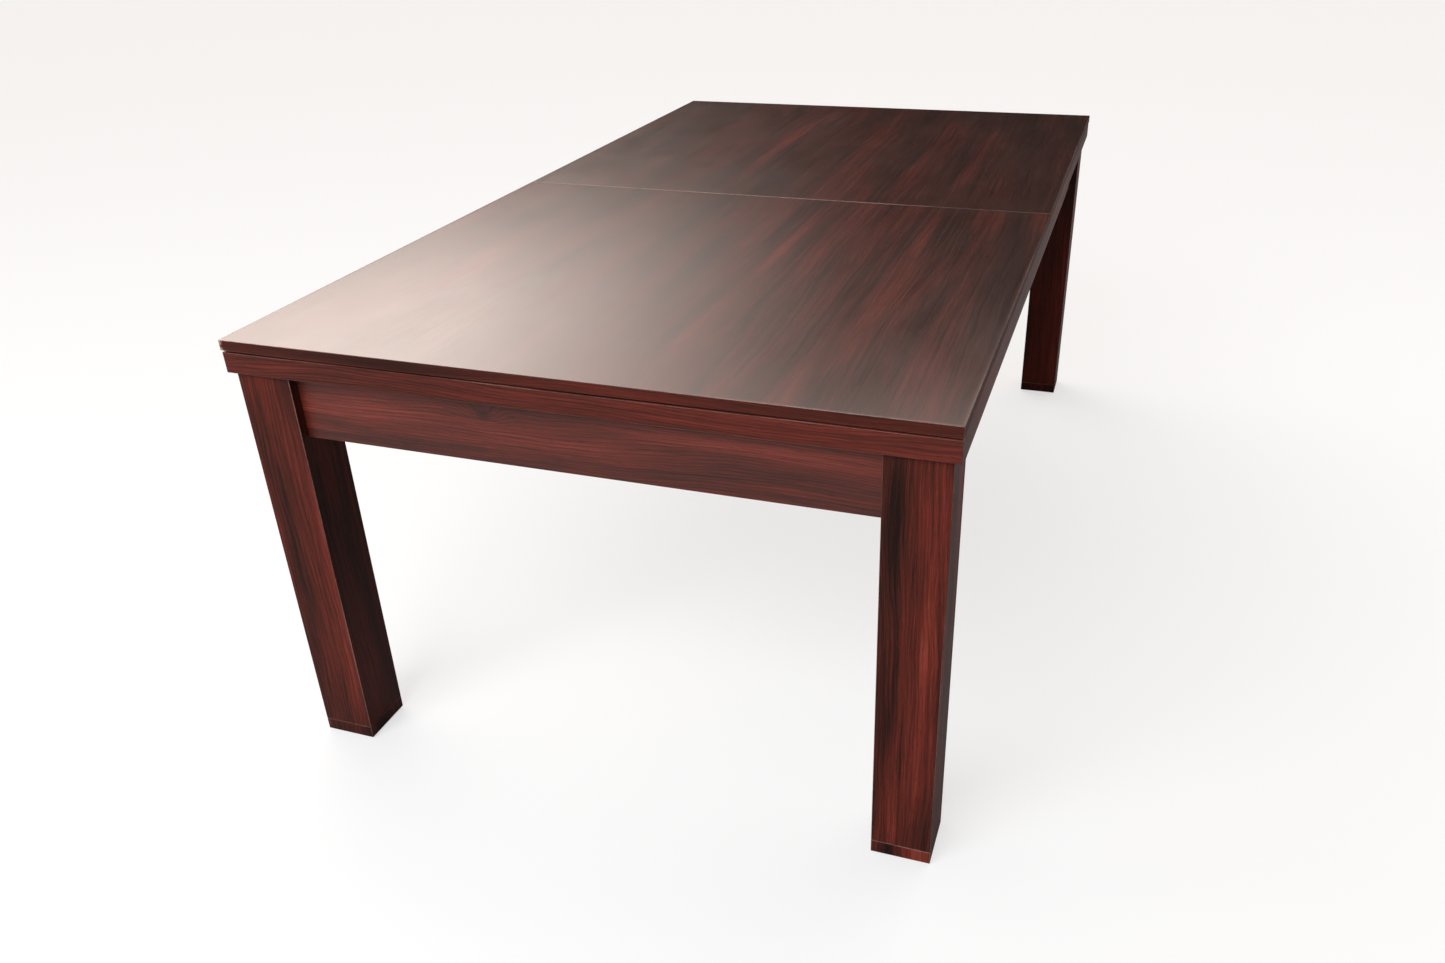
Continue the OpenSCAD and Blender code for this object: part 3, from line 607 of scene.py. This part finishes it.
def cushion_cloth(name, node, inward):
    """The cloth round one cushion, and its flat size. Its section runs from the rail's lower edge to the
    round nose, whose arc both straight stretches touch, and back over the top to a tuck at the
    rail. It is carried along the rail between two slanting ends, where it is drawn in by fold
    (1 − sin a) at fold (1 − cos a) from the end, for a from 0 to 90 degrees. Depth is measured out
    from the rail, and all sizes come from the node's own points."""
    up = np.array((0.0, 0.0, 1.0))
    inward = np.array(inward, float)
    along = np.cross(inward, up)
    points = node_points(node)
    depth, run, height = points @ inward, points @ along, points @ up
    back, front, low, top = depth.min(), depth.max(), height.min(), height.max()
    centre = np.array((front - back - nose_radius, height[depth > front - 1e-5].mean()))

    to_low, to_top = np.array((0, low)) - centre, np.array((tuck, top)) - centre
    first = math.atan2(to_low[1], to_low[0]) + math.acos(nose_radius / np.linalg.norm(to_low))
    last = math.atan2(to_top[1], to_top[0]) - math.acos(nose_radius / np.linalg.norm(to_top))
    angle = np.linspace(first, last, nose_steps)
    nose = centre + nose_radius * np.stack([np.cos(angle), np.sin(angle)], axis=1)
    share = np.linspace(0, 1, face_steps)[1:-1, None]
    under = (1 - share) * (0, low) + share * nose[0]
    over = (1 - share) * nose[-1] + share * (tuck, top)
    section = np.concatenate([[(0, low)], under, nose, over, [(tuck, top), (tuck / 3, top - tuck / 4),
                                                              (0, top - tuck)]])

    at_back, at_nose = depth < back + 1e-5, depth > front - 1e-5
    slants = [(run[at_back].min(), run[at_nose].min(), 1), (run[at_back].max(), run[at_nose].max(), -1)]
    turn = np.linspace(0, math.pi / 2, fold_steps)
    folds = list(zip(fold * (1 - np.cos(turn)), fold * (1 - np.sin(turn))))
    rings = []
    for (from_back, from_nose, inside), stations in zip(slants, (folds, folds[::-1])):
        for distance, drawn in stations:
            ring = inset(section, drawn)
            ring[section[:, 0] == 0, 0] = 0
            place = from_back + (from_nose - from_back) * ring[:, 0] / (front - back) + inside * distance
            rings.append(np.outer(ring[:, 0] + back, inward) + np.outer(place, along)
                         + np.outer(ring[:, 1], up))
    mesh = skin(name, np.array(rings))

    form = bmesh.new()
    form.from_mesh(mesh)
    glued = [f for f in form.faces if all(v.co.dot(inward) < back + 1e-6 for v in f.verts)]
    bmesh.ops.delete(form, geom=glued, context="FACES")
    form.to_mesh(mesh)
    form.free()
    points = values_of(mesh.vertices, "co", 3)
    over_nose = np.sign(points[:, 2] - centre[1]) * (front - points @ inward)
    pattern = np.stack([points @ along, over_nose, np.full(len(points), 0.5)], axis=1)
    mesh.attributes.new("grain", "FLOAT_VECTOR", "POINT").data.foreach_set("vector", pattern.ravel())
    wrap = np.linalg.norm(np.diff(section, axis=0), axis=1).sum()
    return mesh, (round(float(wrap), 3), round(float(np.ptp(run[at_back])), 3))


cushion_baize = baize("cushion_cloth")
rubber = plain_rubber("cushion_rubber")
cushions = [("near_end", (0, 1, 0), "end"), ("far_end", (0, -1, 0), "end"),
            ("left_near", (1, 0, 0), "side"), ("left_far", (1, 0, 0), "side"),
            ("right_near", (-1, 0, 0), "side"), ("right_far", (-1, 0, 0), "side")]
for place, inward, kind in cushions:
    mesh, cut = cushion_cloth(f"cushion_cloth_{place}", f"cushion_{place}", inward)
    wrapped = place_piece(mesh, cushion_baize, stands_for=[f"cushion_{place}"], smooth=50)
    lining = wrapped.modifiers.new("cloth thickness", "SOLIDIFY")
    lining.thickness = cloth_thickness
    lining.offset = -1
for kind in ("end", "side"):
    coat(f"cushion_rubbers_{kind}", rubber)


# ------------------------------------------------------------------- bed
# A fibreboard bed in one piece with green wool cloth stretched and glued over
# it. Both are cut out round the six pockets, where the cloth's edge is turned
# down a little. Pine packers between the bed and the rails take the bolts.
cloth_turn = 0.0006
notch_shoulder = 0.005
arc_steps = 40
board_dark = (0.235, 0.140, 0.075)
board_sand = (0.370, 0.235, 0.130)
board_pale = (0.500, 0.345, 0.205)
bark = (0.09, 0.045, 0.022)
felt_relief = 0.0002
pine_pale = (0.640, 0.440, 0.235)
pine_warm = (0.560, 0.350, 0.160)
pine_amber = (0.370, 0.185, 0.065)
pine_rings_per_metre = 230.0
pine_bend = 4.0
pine_relief = 0.00015


def pocket_axis(node):
    """The middle of a pocket in plan: the centre of the circle that is its floor."""
    points = node_points(node)
    floor = points[points[:, 2] < points[:, 2].min() + 1e-5]
    return (floor.min(axis=0) + floor.max(axis=0))[:2] / 2


def arc(centre, radius, start, finish):
    """Points centre + radius (cos a, sin a) for a from start to finish, in degrees."""
    angle = np.radians(np.linspace(start, finish, arc_steps))
    return np.array(centre) + radius * np.stack([np.cos(angle), np.sin(angle)], axis=1)


def bed_outline():
    """One quarter of the bed, mirrored: from the inside of the side pocket round to its notch, up the
    side, in along the corner notch, back round the corner pocket and out to the end."""
    points = node_points("bed_cloth")[:, :2]
    width, length = points.max(axis=0)
    side, corner = pocket_axis("pocket_right_side"), pocket_axis("pocket_far_right")
    side_hole, corner_hole = (np.linalg.norm(points - axis, axis=1).min() for axis in (side, corner))
    notch, slot = side_hole - notch_shoulder, corner_hole - notch_shoulder
    side_angle = math.degrees(math.asin(notch / side_hole))
    corner_angle = math.degrees(math.asin(slot / corner_hole))
    offset = slot * math.sqrt(2)
    quarter = np.concatenate([
        arc(side, side_hole, 180, side_angle)[1:], [(width, notch)],
        [(width, corner[1] + width - corner[0] - offset)],
        arc(corner, corner_hole, 45 - corner_angle, 45 + corner_angle - 360),
        [(corner[0] + length - corner[1] - offset, length)]])
    left, below = np.array((-1, 1)), np.array((1, -1))
    return np.concatenate([quarter, (quarter * left)[::-1], quarter * left * below,
                           (quarter * below)[::-1]])


lo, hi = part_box("bed_cloth")
outline = bed_outline()
profile = [(0, lo.z)] + rounded_profile(lo.z, hi.z, cloth_turn)[corner_steps:]
mesh = plate("playing_cloth", lambda d: inset(outline, d), profile)
lay_grain(mesh, (0, 1, 0))
playing_cloth = place_piece(mesh, baize("playing_cloth"), stands_for=["bed_cloth"], smooth=50)


def fibreboard(name):
    """Raw fibreboard: fine felted fibres over slow clouds of sandy brown, with a few flecks of bark."""
    material, tree, shader = new_material(name, specular_ior_level=0.2)
    place = object_place(tree)
    clouds = noise(tree, place, (6.0, 6.0, 6.0), 3.0)
    felt = noise(tree, place, (420.0, 420.0, 420.0), 4.0, 0.7)
    tone = calc(tree, "MULTIPLY_ADD", clouds, 0.35, calc(tree, "MULTIPLY", felt, 0.65))
    colour = ramp(tree, tone, [(0.36, board_dark), (0.50, board_sand), (0.66, board_pale)])
    flecks = spread(tree, noise(tree, place, (900.0, 900.0, 900.0), 1.0), 0.68, 0.74)
    colour = mix(tree, calc(tree, "MULTIPLY", flecks, 0.6), colour, bark)
    tree.links.new(colour, shader.inputs["Base Color"])
    roughened(tree, shader, felt, 0.75, 0.92)
    bumped(tree, shader, felt, 0.4, felt_relief)
    return material


raw_board = fibreboard("raw_fibreboard")
coat("bed_board", raw_board)


def pine(name):
    """Planed pine: each growth ring is the part of rings × across + bend × slow noise beyond a whole
    number, whose cube takes it from pale early wood to a narrow amber line."""
    material, tree, shader = new_material(name, specular_ior_level=0.3)
    place = pattern_place(tree)
    bend = spread(tree, noise(tree, place, (1.2, 14.0, 1.0), 2.0), 0, 1, -pine_bend, pine_bend)
    across = split(tree, place)[1]
    rings = calc(tree, "FRACT", calc(tree, "MULTIPLY_ADD", across, pine_rings_per_metre, bend))
    fibres = noise(tree, place, (14.0, 900.0, 1.0), 3.0, 0.6)
    tone = calc(tree, "MULTIPLY_ADD", calc(tree, "POWER", rings, 3.0), 0.55,
                calc(tree, "MULTIPLY", fibres, 0.5))
    coloured(tree, shader, tone, [(0.15, pine_pale), (0.45, pine_warm), (0.85, pine_amber)])
    roughened(tree, shader, fibres, 0.55, 0.72)
    bumped(tree, shader, calc(tree, "MULTIPLY_ADD", rings, 0.4, fibres), 0.4, pine_relief)
    return material


planed_pine = pine("planed_pine")
place_piece(dressed("rail_packers", "pine_packers", (1, 0, 0), 1), planed_pine,
            stands_for=["rail_packers"])


# --------------------------------------------------------------- pockets
# Six black pockets, each one moulding of tough plastic with a slotted basket,
# a collar behind the cushions and a trim ring on the rails, which is held down
# by three small cross-head screws.
plastic_black = (0.012, 0.012, 0.013)
plastic_grey = (0.024, 0.024, 0.025)
mould_relief = 0.00012
trim_screw_radius = 0.0030
trim_screw_height = 0.0006
trim_width = 0.010
screw_spread = 62.0
head_crown = 0.75
head_sides = 32
cross_width = 0.16
cross_reach = 0.6
cross_depth = 0.55
zinc = (0.56, 0.57, 0.58)
zinc_warm = (0.62, 0.59, 0.50)
brushed_relief = 0.00005


def moulded_plastic(name):
    """Black plastic from a spark-eroded mould: an even fine grain, and a slight haze of wear."""
    material, tree, shader = new_material(name, specular_ior_level=0.5)
    place = object_place(tree)
    haze = noise(tree, place, (25.0, 25.0, 25.0), 4.0, 0.6)
    grain = noise(tree, place, (1300.0, 1300.0, 1300.0), 2.0)
    coloured(tree, shader, haze, [(0.35, plastic_black), (0.70, plastic_grey)])
    roughened(tree, shader, haze, 0.36, 0.50)
    bumped(tree, shader, grain, 0.35, mould_relief)
    return material


def zinc_plate(name):
    """Zinc-plated steel: brushed by fine noise, with a faint yellow bloom in places."""
    material, tree, shader = new_material(name, metallic=1.0)
    place = object_place(tree)
    bloom = noise(tree, place, (40.0, 40.0, 40.0), 3.0, 0.6)
    grit = noise(tree, place, (700.0, 700.0, 260.0), 3.0, 0.6)
    coloured(tree, shader, bloom, [(0.40, zinc), (0.68, zinc_warm)])
    roughened(tree, shader, grit, 0.26, 0.42)
    bumped(tree, shader, grit, 0.2, brushed_relief)
    return material


def screw_head(radius, height):
    """A cross-head screw's head: height × (1 − crown r² − the cross's depth, within its reach and where
    x or y is under its width) over a grid of angle and r. All but the height and the radius are
    shares of those two. The outermost ring lies at height 0."""
    shares = np.array([1, 1, 0.85, 0.62, 0.58, 0.40, 0.22, 0.12])
    angle = 2 * math.pi * (np.arange(head_sides) + 0.5) / head_sides
    r, a = np.meshgrid(shares, angle, indexing="ij")
    x, y = r * np.cos(a), r * np.sin(a)
    in_cross = (np.minimum(abs(x), abs(y)) < cross_width) & (r < cross_reach)
    z = 1 - head_crown * r ** 2 - cross_depth * in_cross
    z[0] = 0
    return np.stack([x * radius, y * radius, z * height], axis=-1)


def repeated(name, rings, places, directions):
    """Copies of a small part, closed by a skin, at each place with its Z axis in that direction."""
    part = skin(name + "_part", rings)
    points = values_of(part.vertices, "co", 3)
    faces = [list(face.vertices) for face in part.polygons]
    bpy.data.meshes.remove(part)
    z = np.array(directions, float)
    z /= np.linalg.norm(z, axis=1, keepdims=True)
    helper = np.where(abs(z[:, 2:]) > 0.9, (1.0, 0, 0), (0, 0, 1.0))
    x = np.cross(helper, z)
    x /= np.linalg.norm(x, axis=1, keepdims=True)
    axes = np.stack([x, np.cross(z, x), z], axis=1)
    placed = np.einsum("pj,kji->kpi", points, axes) + np.array(places)[:, None]
    mesh = bpy.data.meshes.new(name)
    all_faces = [[i + k * len(points) for i in face] for k in range(len(places)) for face in faces]
    mesh.from_pydata(placed.reshape(-1, 3).tolist(), [], all_faces)
    return mesh


pocket_plastic = moulded_plastic("pocket_plastic")
zinc_steel = zinc_plate("zinc_plated_steel")
pockets = [("near_left", 225), ("near_right", 315), ("far_left", 135), ("far_right", 45),
           ("left_side", 180), ("right_side", 0)]
trim_screws = []
for place, outward in pockets:
    node = f"pocket_{place}"
    place_piece(dressed(node, f"{node}_moulding", (0, 0, 1)), pocket_plastic,
                stands_for=[node])
    points = node_points(node)
    axis = pocket_axis(node)
    ring = np.linalg.norm(points[:, :2] - axis, axis=1).max() - trim_width / 2
    angle = np.radians(outward + screw_spread * np.array([-1, 0, 1]))
    trim_screws.append(np.column_stack([axis[0] + ring * np.cos(angle), axis[1] + ring * np.sin(angle),
                                        np.full(3, points[:, 2].max())]))
trim_screws = np.concatenate(trim_screws)
mesh = repeated("pocket_trim_screws", screw_head(trim_screw_radius, trim_screw_height), trim_screws,
                np.tile((0, 0, 1), (len(trim_screws), 1)))
place_piece(mesh, zinc_steel)


# --------------------------------------------------------------- aprons
# Four boards on edge with the mahogany decor on both faces, set back under the
# rails. The end aprons fit between the side ones.
apron_marks = {
    "apron_near_end": [(0.24, 0.030, 0.26, 0.012, 0.07), (-0.36, 0.015, 0.16, 0.020, 0.02),
                       (0.00, 0.015, 1.50, 0.022, 0.03), (0.00, -0.045, 1.50, 0.022, -0.03)],
}
apron_knots = {"apron_near_end": [(-0.148, 0.028, 0.009)]}
for sheet, (apron, along) in enumerate([("apron_near_end", (1, 0, 0)), ("apron_far_end", (1, 0, 0)),
                                        ("apron_left", (0, 1, 0)), ("apron_right", (0, 1, 0))]):
    decor = laminate(f"mahogany_laminate_{apron}", apron_marks.get(apron, ()), apron_knots.get(apron, ()),
                     contrast=0.7, darker=-0.041, rings_per_metre=200.0, ring_depth=0.10, shine=0.5)
    place_piece(dressed(apron, f"{apron}_veneered", along, sheet + 10, edge_round), decor,
                stands_for=[apron])


# ------------------------------------------------------------ underframe
# Planed pine: ledger strips glued and screwed inside the aprons, and two pairs
# of cross beams half-lapped with a spine beam, hung on zinc-plated angles.
place_piece(dressed("ledger_strips", "pine_ledgers", (1, 0, 0), 2, edge_round), planed_pine,
            stands_for=["ledger_strips"])
for sheet, (node, along) in enumerate([("cross_beams_inner", (1, 0, 0)), ("cross_beams_outer", (1, 0, 0)),
                                       ("spine_beam", (0, 1, 0))]):
    place_piece(dressed(node, f"pine_{node}", along, sheet + 3, edge_round), planed_pine,
                stands_for=[node])

# Each kind of ironwork: the rounding of its edges, and the shortest edge that is rounded
ironwork = [("beam_brackets", edge_round, 0.010), ("corner_brackets", edge_round, 0.010),
            ("leg_bolts", 0.0005, 0.004), ("rail_bolts", 0.0005, 0.004)]
for node, fillet, shortest in ironwork:
    place_piece(dressed(node, f"{node}_plated", (0, 0, 1), 0, fillet, shortest), zinc_steel,
                stands_for=[node])

# Wood screws: two in each flange of the beams' angles, and a row in each ledger
wood_screw_radius = 0.0036
wood_screw_height = 0.0022
screw_rise = 0.012
screw_out = 0.018
flange_thickness = 0.0025
ledger_width = 0.020
ledger_screw_first = 0.150
ledger_screw_pitch = 0.180
half_side_screws = 5
end_screws = 4
beam_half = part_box("spine_beam")[1].x
brackets_lo, brackets_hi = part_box("beam_brackets")
bracket_middle = (brackets_lo.z + brackets_hi.z) / 2

# Each angle: the corner that it sits in, and which way its flanges on the wall and on the beam look
angles = []
for beams in ("cross_beams_inner", "cross_beams_outer"):
    inner_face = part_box(beams)[1].y - 2 * beam_half
    angles += [((x * brackets_hi.x, y * inner_face), (-x, 0), (0, -y)) for x in (-1, 1) for y in (-1, 1)]
angles += [((beam_half, y * brackets_hi.y), (0, -y), (1, 0)) for y in (-1, 1)]
places, directions = [], []
for corner, on_wall, on_beam in np.array(angles):
    for facing, out in ((on_wall, on_beam), (on_beam, on_wall)):
        x, y = corner + flange_thickness * facing + screw_out * out
        places += [(x, y, bracket_middle + rise) for rise in (-screw_rise, screw_rise)]
        directions += [(*facing, 0)] * 2

ledger_lo, ledger_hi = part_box("ledger_strips")
ledger_z = (ledger_lo.z + ledger_hi.z) / 2
for x in (-1, 1):
    for y in ledger_screw_first + ledger_screw_pitch * np.arange(half_side_screws):
        places += [(x * (ledger_hi.x - ledger_width), side * y, ledger_z) for side in (-1, 1)]
        directions += [(-x, 0, 0)] * 2
for y in (-1, 1):
    for x in ledger_screw_pitch * (np.arange(end_screws) - (end_screws - 1) / 2):
        places.append((x, y * (ledger_hi.y - ledger_width), ledger_z))
        directions.append((0, -y, 0))
mesh = repeated("wood_screws", screw_head(wood_screw_radius, wood_screw_height), places, directions)
place_piece(mesh, zinc_steel)


# ------------------------------------------------------------------ legs
# Square legs, each a box of four panels with the mahogany decor, mitred at
# their corners. The two outer panels run up over the aprons to the rails.
leg_marks = {
    "near_right": [(0.30, 0.027, 0.07, 0.015, -0.08), (0.19, 0.031, 0.12, 0.008, -0.07),
                   (0.02, 0.020, 0.16, 0.007, -0.07), (0.30, -0.012, 0.10, 0.018, 0.06),
                   (0.05, -0.022, 0.14, 0.009, 0.07), (-0.21, -0.009, 0.10, 0.012, 0.04),
                   (-0.12, 0.026, 0.12, 0.012, -0.06), (0.25, -0.028, 0.25, 0.014, 0.08)],
    "near_left": [(0.10, 0.020, 0.25, 0.012, -0.03), (-0.15, -0.022, 0.50, 0.025, -0.035)],
}
for sheet, corner in enumerate(("near_left", "near_right", "far_left", "far_right")):
    decor = laminate(f"mahogany_laminate_leg_{corner}", leg_marks.get(corner, ()), contrast=0.85,
                     darker=-0.005, rings_per_metre=150.0, ring_depth=0.05, shine=0.12)
    leg = dressed(f"leg_{corner}", f"leg_panels_{corner}", (0, 0, 1), sheet + 20, edge_round)
    place_piece(leg, decor, stands_for=[f"leg_{corner}"])
    foot = dressed(f"foot_block_{corner}", f"foot_plinth_{corner}", (0, 0, 1), sheet + 30, edge_round)
    place_piece(foot, decor, stands_for=[f"foot_block_{corner}"])
coat("leg_top_blocks", raw_board)


# -------------------------------------------------------- levelling feet
# A zinc-plated M10 stud with a black nylon disc moulded on its foot, which is
# ribbed round its rim for the fingers. The stud turns in a threaded insert in
# the foot block, over a loose washer.
disc_height = 0.006
disc_round = 0.0012
rib_count = 48
rib_depth = 0.0007
stud_radius = 0.005
thread_pitch = 0.0015
thread_depth = 0.00075
stud_chamfer = 0.0009
stud_sunk = 0.001
turn_steps = 24
rings_per_pitch = 6


def nylon_disc(name, centre, radius):
    """The disc: its outline radius − rib depth × cos²(ribs × angle / 2) is carried up a profile that
    rounds both edges, on which the ribs fade out, and closed above and below."""
    angle = np.linspace(0, 2 * math.pi, rib_count * 6, endpoint=False)
    rings = []
    for drawn, z in rounded_profile(0.0, disc_height, disc_round):
        at_edge = drawn / disc_round
        rib = (1 - at_edge) * rib_depth * np.cos(rib_count * angle / 2) ** 2
        r = radius - drawn - rib
        rings.append(np.column_stack([centre[0] + r * np.cos(angle), centre[1] + r * np.sin(angle),
                                      np.full(len(angle), z)]))
    return skin(name, np.array(rings))


def threaded_stud(name, centre, low, high):
    """The stud: radius − thread depth × |2 × (the part of height / pitch − angle / turn beyond a whole
    number) − 1| over a grid of height and angle, tapered at its tip."""
    count = int((high - low) / thread_pitch * rings_per_pitch)
    z, a = np.meshgrid(np.linspace(low, high, count), np.arange(turn_steps) / turn_steps,
                       indexing="ij")
    groove = thread_depth * abs(2 * ((z / thread_pitch - a) % 1) - 1)
    tip = np.maximum(stud_chamfer - (high - z), 0)
    r = np.minimum(stud_radius - groove, stud_radius - tip)
    turn = 2 * math.pi * a
    return skin(name, np.stack([centre[0] + r * np.cos(turn), centre[1] + r * np.sin(turn), z], axis=-1))


for corner in ("near_left", "near_right", "far_left", "far_right"):
    node, body = f"leveller_{corner}", f"{corner}_leveller"
    lo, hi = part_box(node)
    middle = (lo + hi) / 2
    disc = nylon_disc(f"leveller_disc_{corner}", middle, (hi.x - lo.x) / 2)
    place_piece(disc, pocket_plastic, body, [node], smooth=40)
    stud = threaded_stud(f"leveller_stud_{corner}", middle, disc_height - stud_sunk, hi.z)
    place_piece(stud, zinc_steel, body, smooth=75)
    coat(f"leveller_washer_{corner}", zinc_steel)
coat("foot_inserts", zinc_steel)


# ---------------------------------------------------------------- studio
# A pale floor without an edge, a large soft lamp in front and to the left with
# a dim one at the right, and dark walls. The gloss mirrors three soft panels in
# them: a bright window at the left, one over the far end, a dim one in front.
floor_size = 80.0
floor_pale = (0.29, 0.30, 0.31)
floor_grey = (0.20, 0.20, 0.20)
background_glow = 0.61
mirrored_glow = 0.02
sky_glow = 0.87
white = (1.0, 1.0, 1.0)
warm_light = (1.0, 0.88, 0.80)

# Each panel: which way it lies, between which shares of that way and of up it fades in, the power of
# the first fade, and its light
wall_light = 0.015
panels = {"window": ((-0.906, 0.423, 0.0), (0.56, 0.82), (0.234, 0.330), 2.0, 5.5),
          "far_end": ((0.0, 1.0, 0.0), (0.2, 0.6), (0.40, 0.50), 1.0, 2.8),
          "front": ((0.0, -1.0, 0.0), (0.2, 0.8), (0.1, 0.5), 1.0, 0.6)}

# Each lamp: its name, place, target, size, watts, and whether the gloss mirrors it
lamps = [("key", (-1.0, -4.6, 3.4), (0.0, -0.8, 0.5), (4.0, 3.4), 285.0, False),
         ("fill", (4.2, 0.6, 2.4), (0.4, 0.0, 0.5), (2.4, 2.0), 18.0, True)]


def seen(tree, *kinds):
    """1 on the kinds of ray named, and 0 on the others."""
    path = tree.nodes.new("ShaderNodeLightPath")
    total = path.outputs[kinds[0]]
    for kind in kinds[1:]:
        total = calc(tree, "ADD", total, path.outputs[kind], clamp=True)
    return total


half = floor_size / 2
floor_mesh = bpy.data.meshes.new("floor")
floor_mesh.from_pydata([(-half, -half, 0), (half, -half, 0), (half, half, 0), (-half, half, 0)], [],
                       [(0, 1, 2, 3)])
floor = bpy.data.objects.new("floor", floor_mesh)
bpy.context.scene.collection.objects.link(floor)
material, tree, shader = new_material("pale_floor", roughness=1.0, specular_ior_level=0.0)
shown = seen(tree, "Is Camera Ray", "Is Glossy Ray", "Is Transmission Ray")
tree.links.new(mix(tree, shown, floor_grey, floor_pale), shader.inputs["Base Color"])
shader.inputs["Emission Color"].default_value = (*white, 1.0)
glow = calc(tree, "MULTIPLY_ADD", seen(tree, "Is Camera Ray", "Is Transmission Ray"), background_glow,
            calc(tree, "MULTIPLY", shown, mirrored_glow))
tree.links.new(glow, shader.inputs["Emission Strength"])
floor_mesh.materials.append(material)

world = bpy.data.worlds.new("studio")
world.use_nodes = True
bpy.context.scene.world = world
tree = world.node_tree
background = tree.nodes["Background"]
direction = add(tree, "ShaderNodeTexCoord").outputs["Generated"]
upwards = split(tree, direction)[2]
room = wall_light
for way, edge, foot, power, light in panels.values():
    along = add(tree, "ShaderNodeVectorMath", {0: direction, 1: way}, operation="DOT_PRODUCT")
    fade = calc(tree, "POWER", spread(tree, along.outputs["Value"], *edge), power)
    panel = calc(tree, "MULTIPLY", fade, spread(tree, upwards, *foot, 0, light))
    room = calc(tree, "ADD", panel, room)
plain = seen(tree, "Is Camera Ray", "Is Transmission Ray")
tree.links.new(mix(tree, plain, warm_light, white), background.inputs["Color"])
unseen = calc(tree, "MULTIPLY", calc(tree, "SUBTRACT", 1.0, plain), room)
tree.links.new(calc(tree, "MULTIPLY_ADD", plain, sky_glow, unseen), background.inputs["Strength"])

for name, place, target, (width, height), watts, mirrored in lamps:
    lamp = bpy.data.lights.new(name, "AREA")
    lamp.shape = "RECTANGLE"
    lamp.size = width
    lamp.size_y = height
    lamp.energy = watts
    lamp_object = bpy.data.objects.new(name, lamp)
    lamp_object.location = place
    lamp_object.visible_camera = False
    lamp_object.visible_glossy = mirrored
    away = lamp_object.location - Vector(target)
    lamp_object.rotation_euler = away.to_track_quat("Z", "Y").to_euler()
    bpy.context.scene.collection.objects.link(lamp_object)

bpy.context.scene.view_settings.view_transform = "Standard"
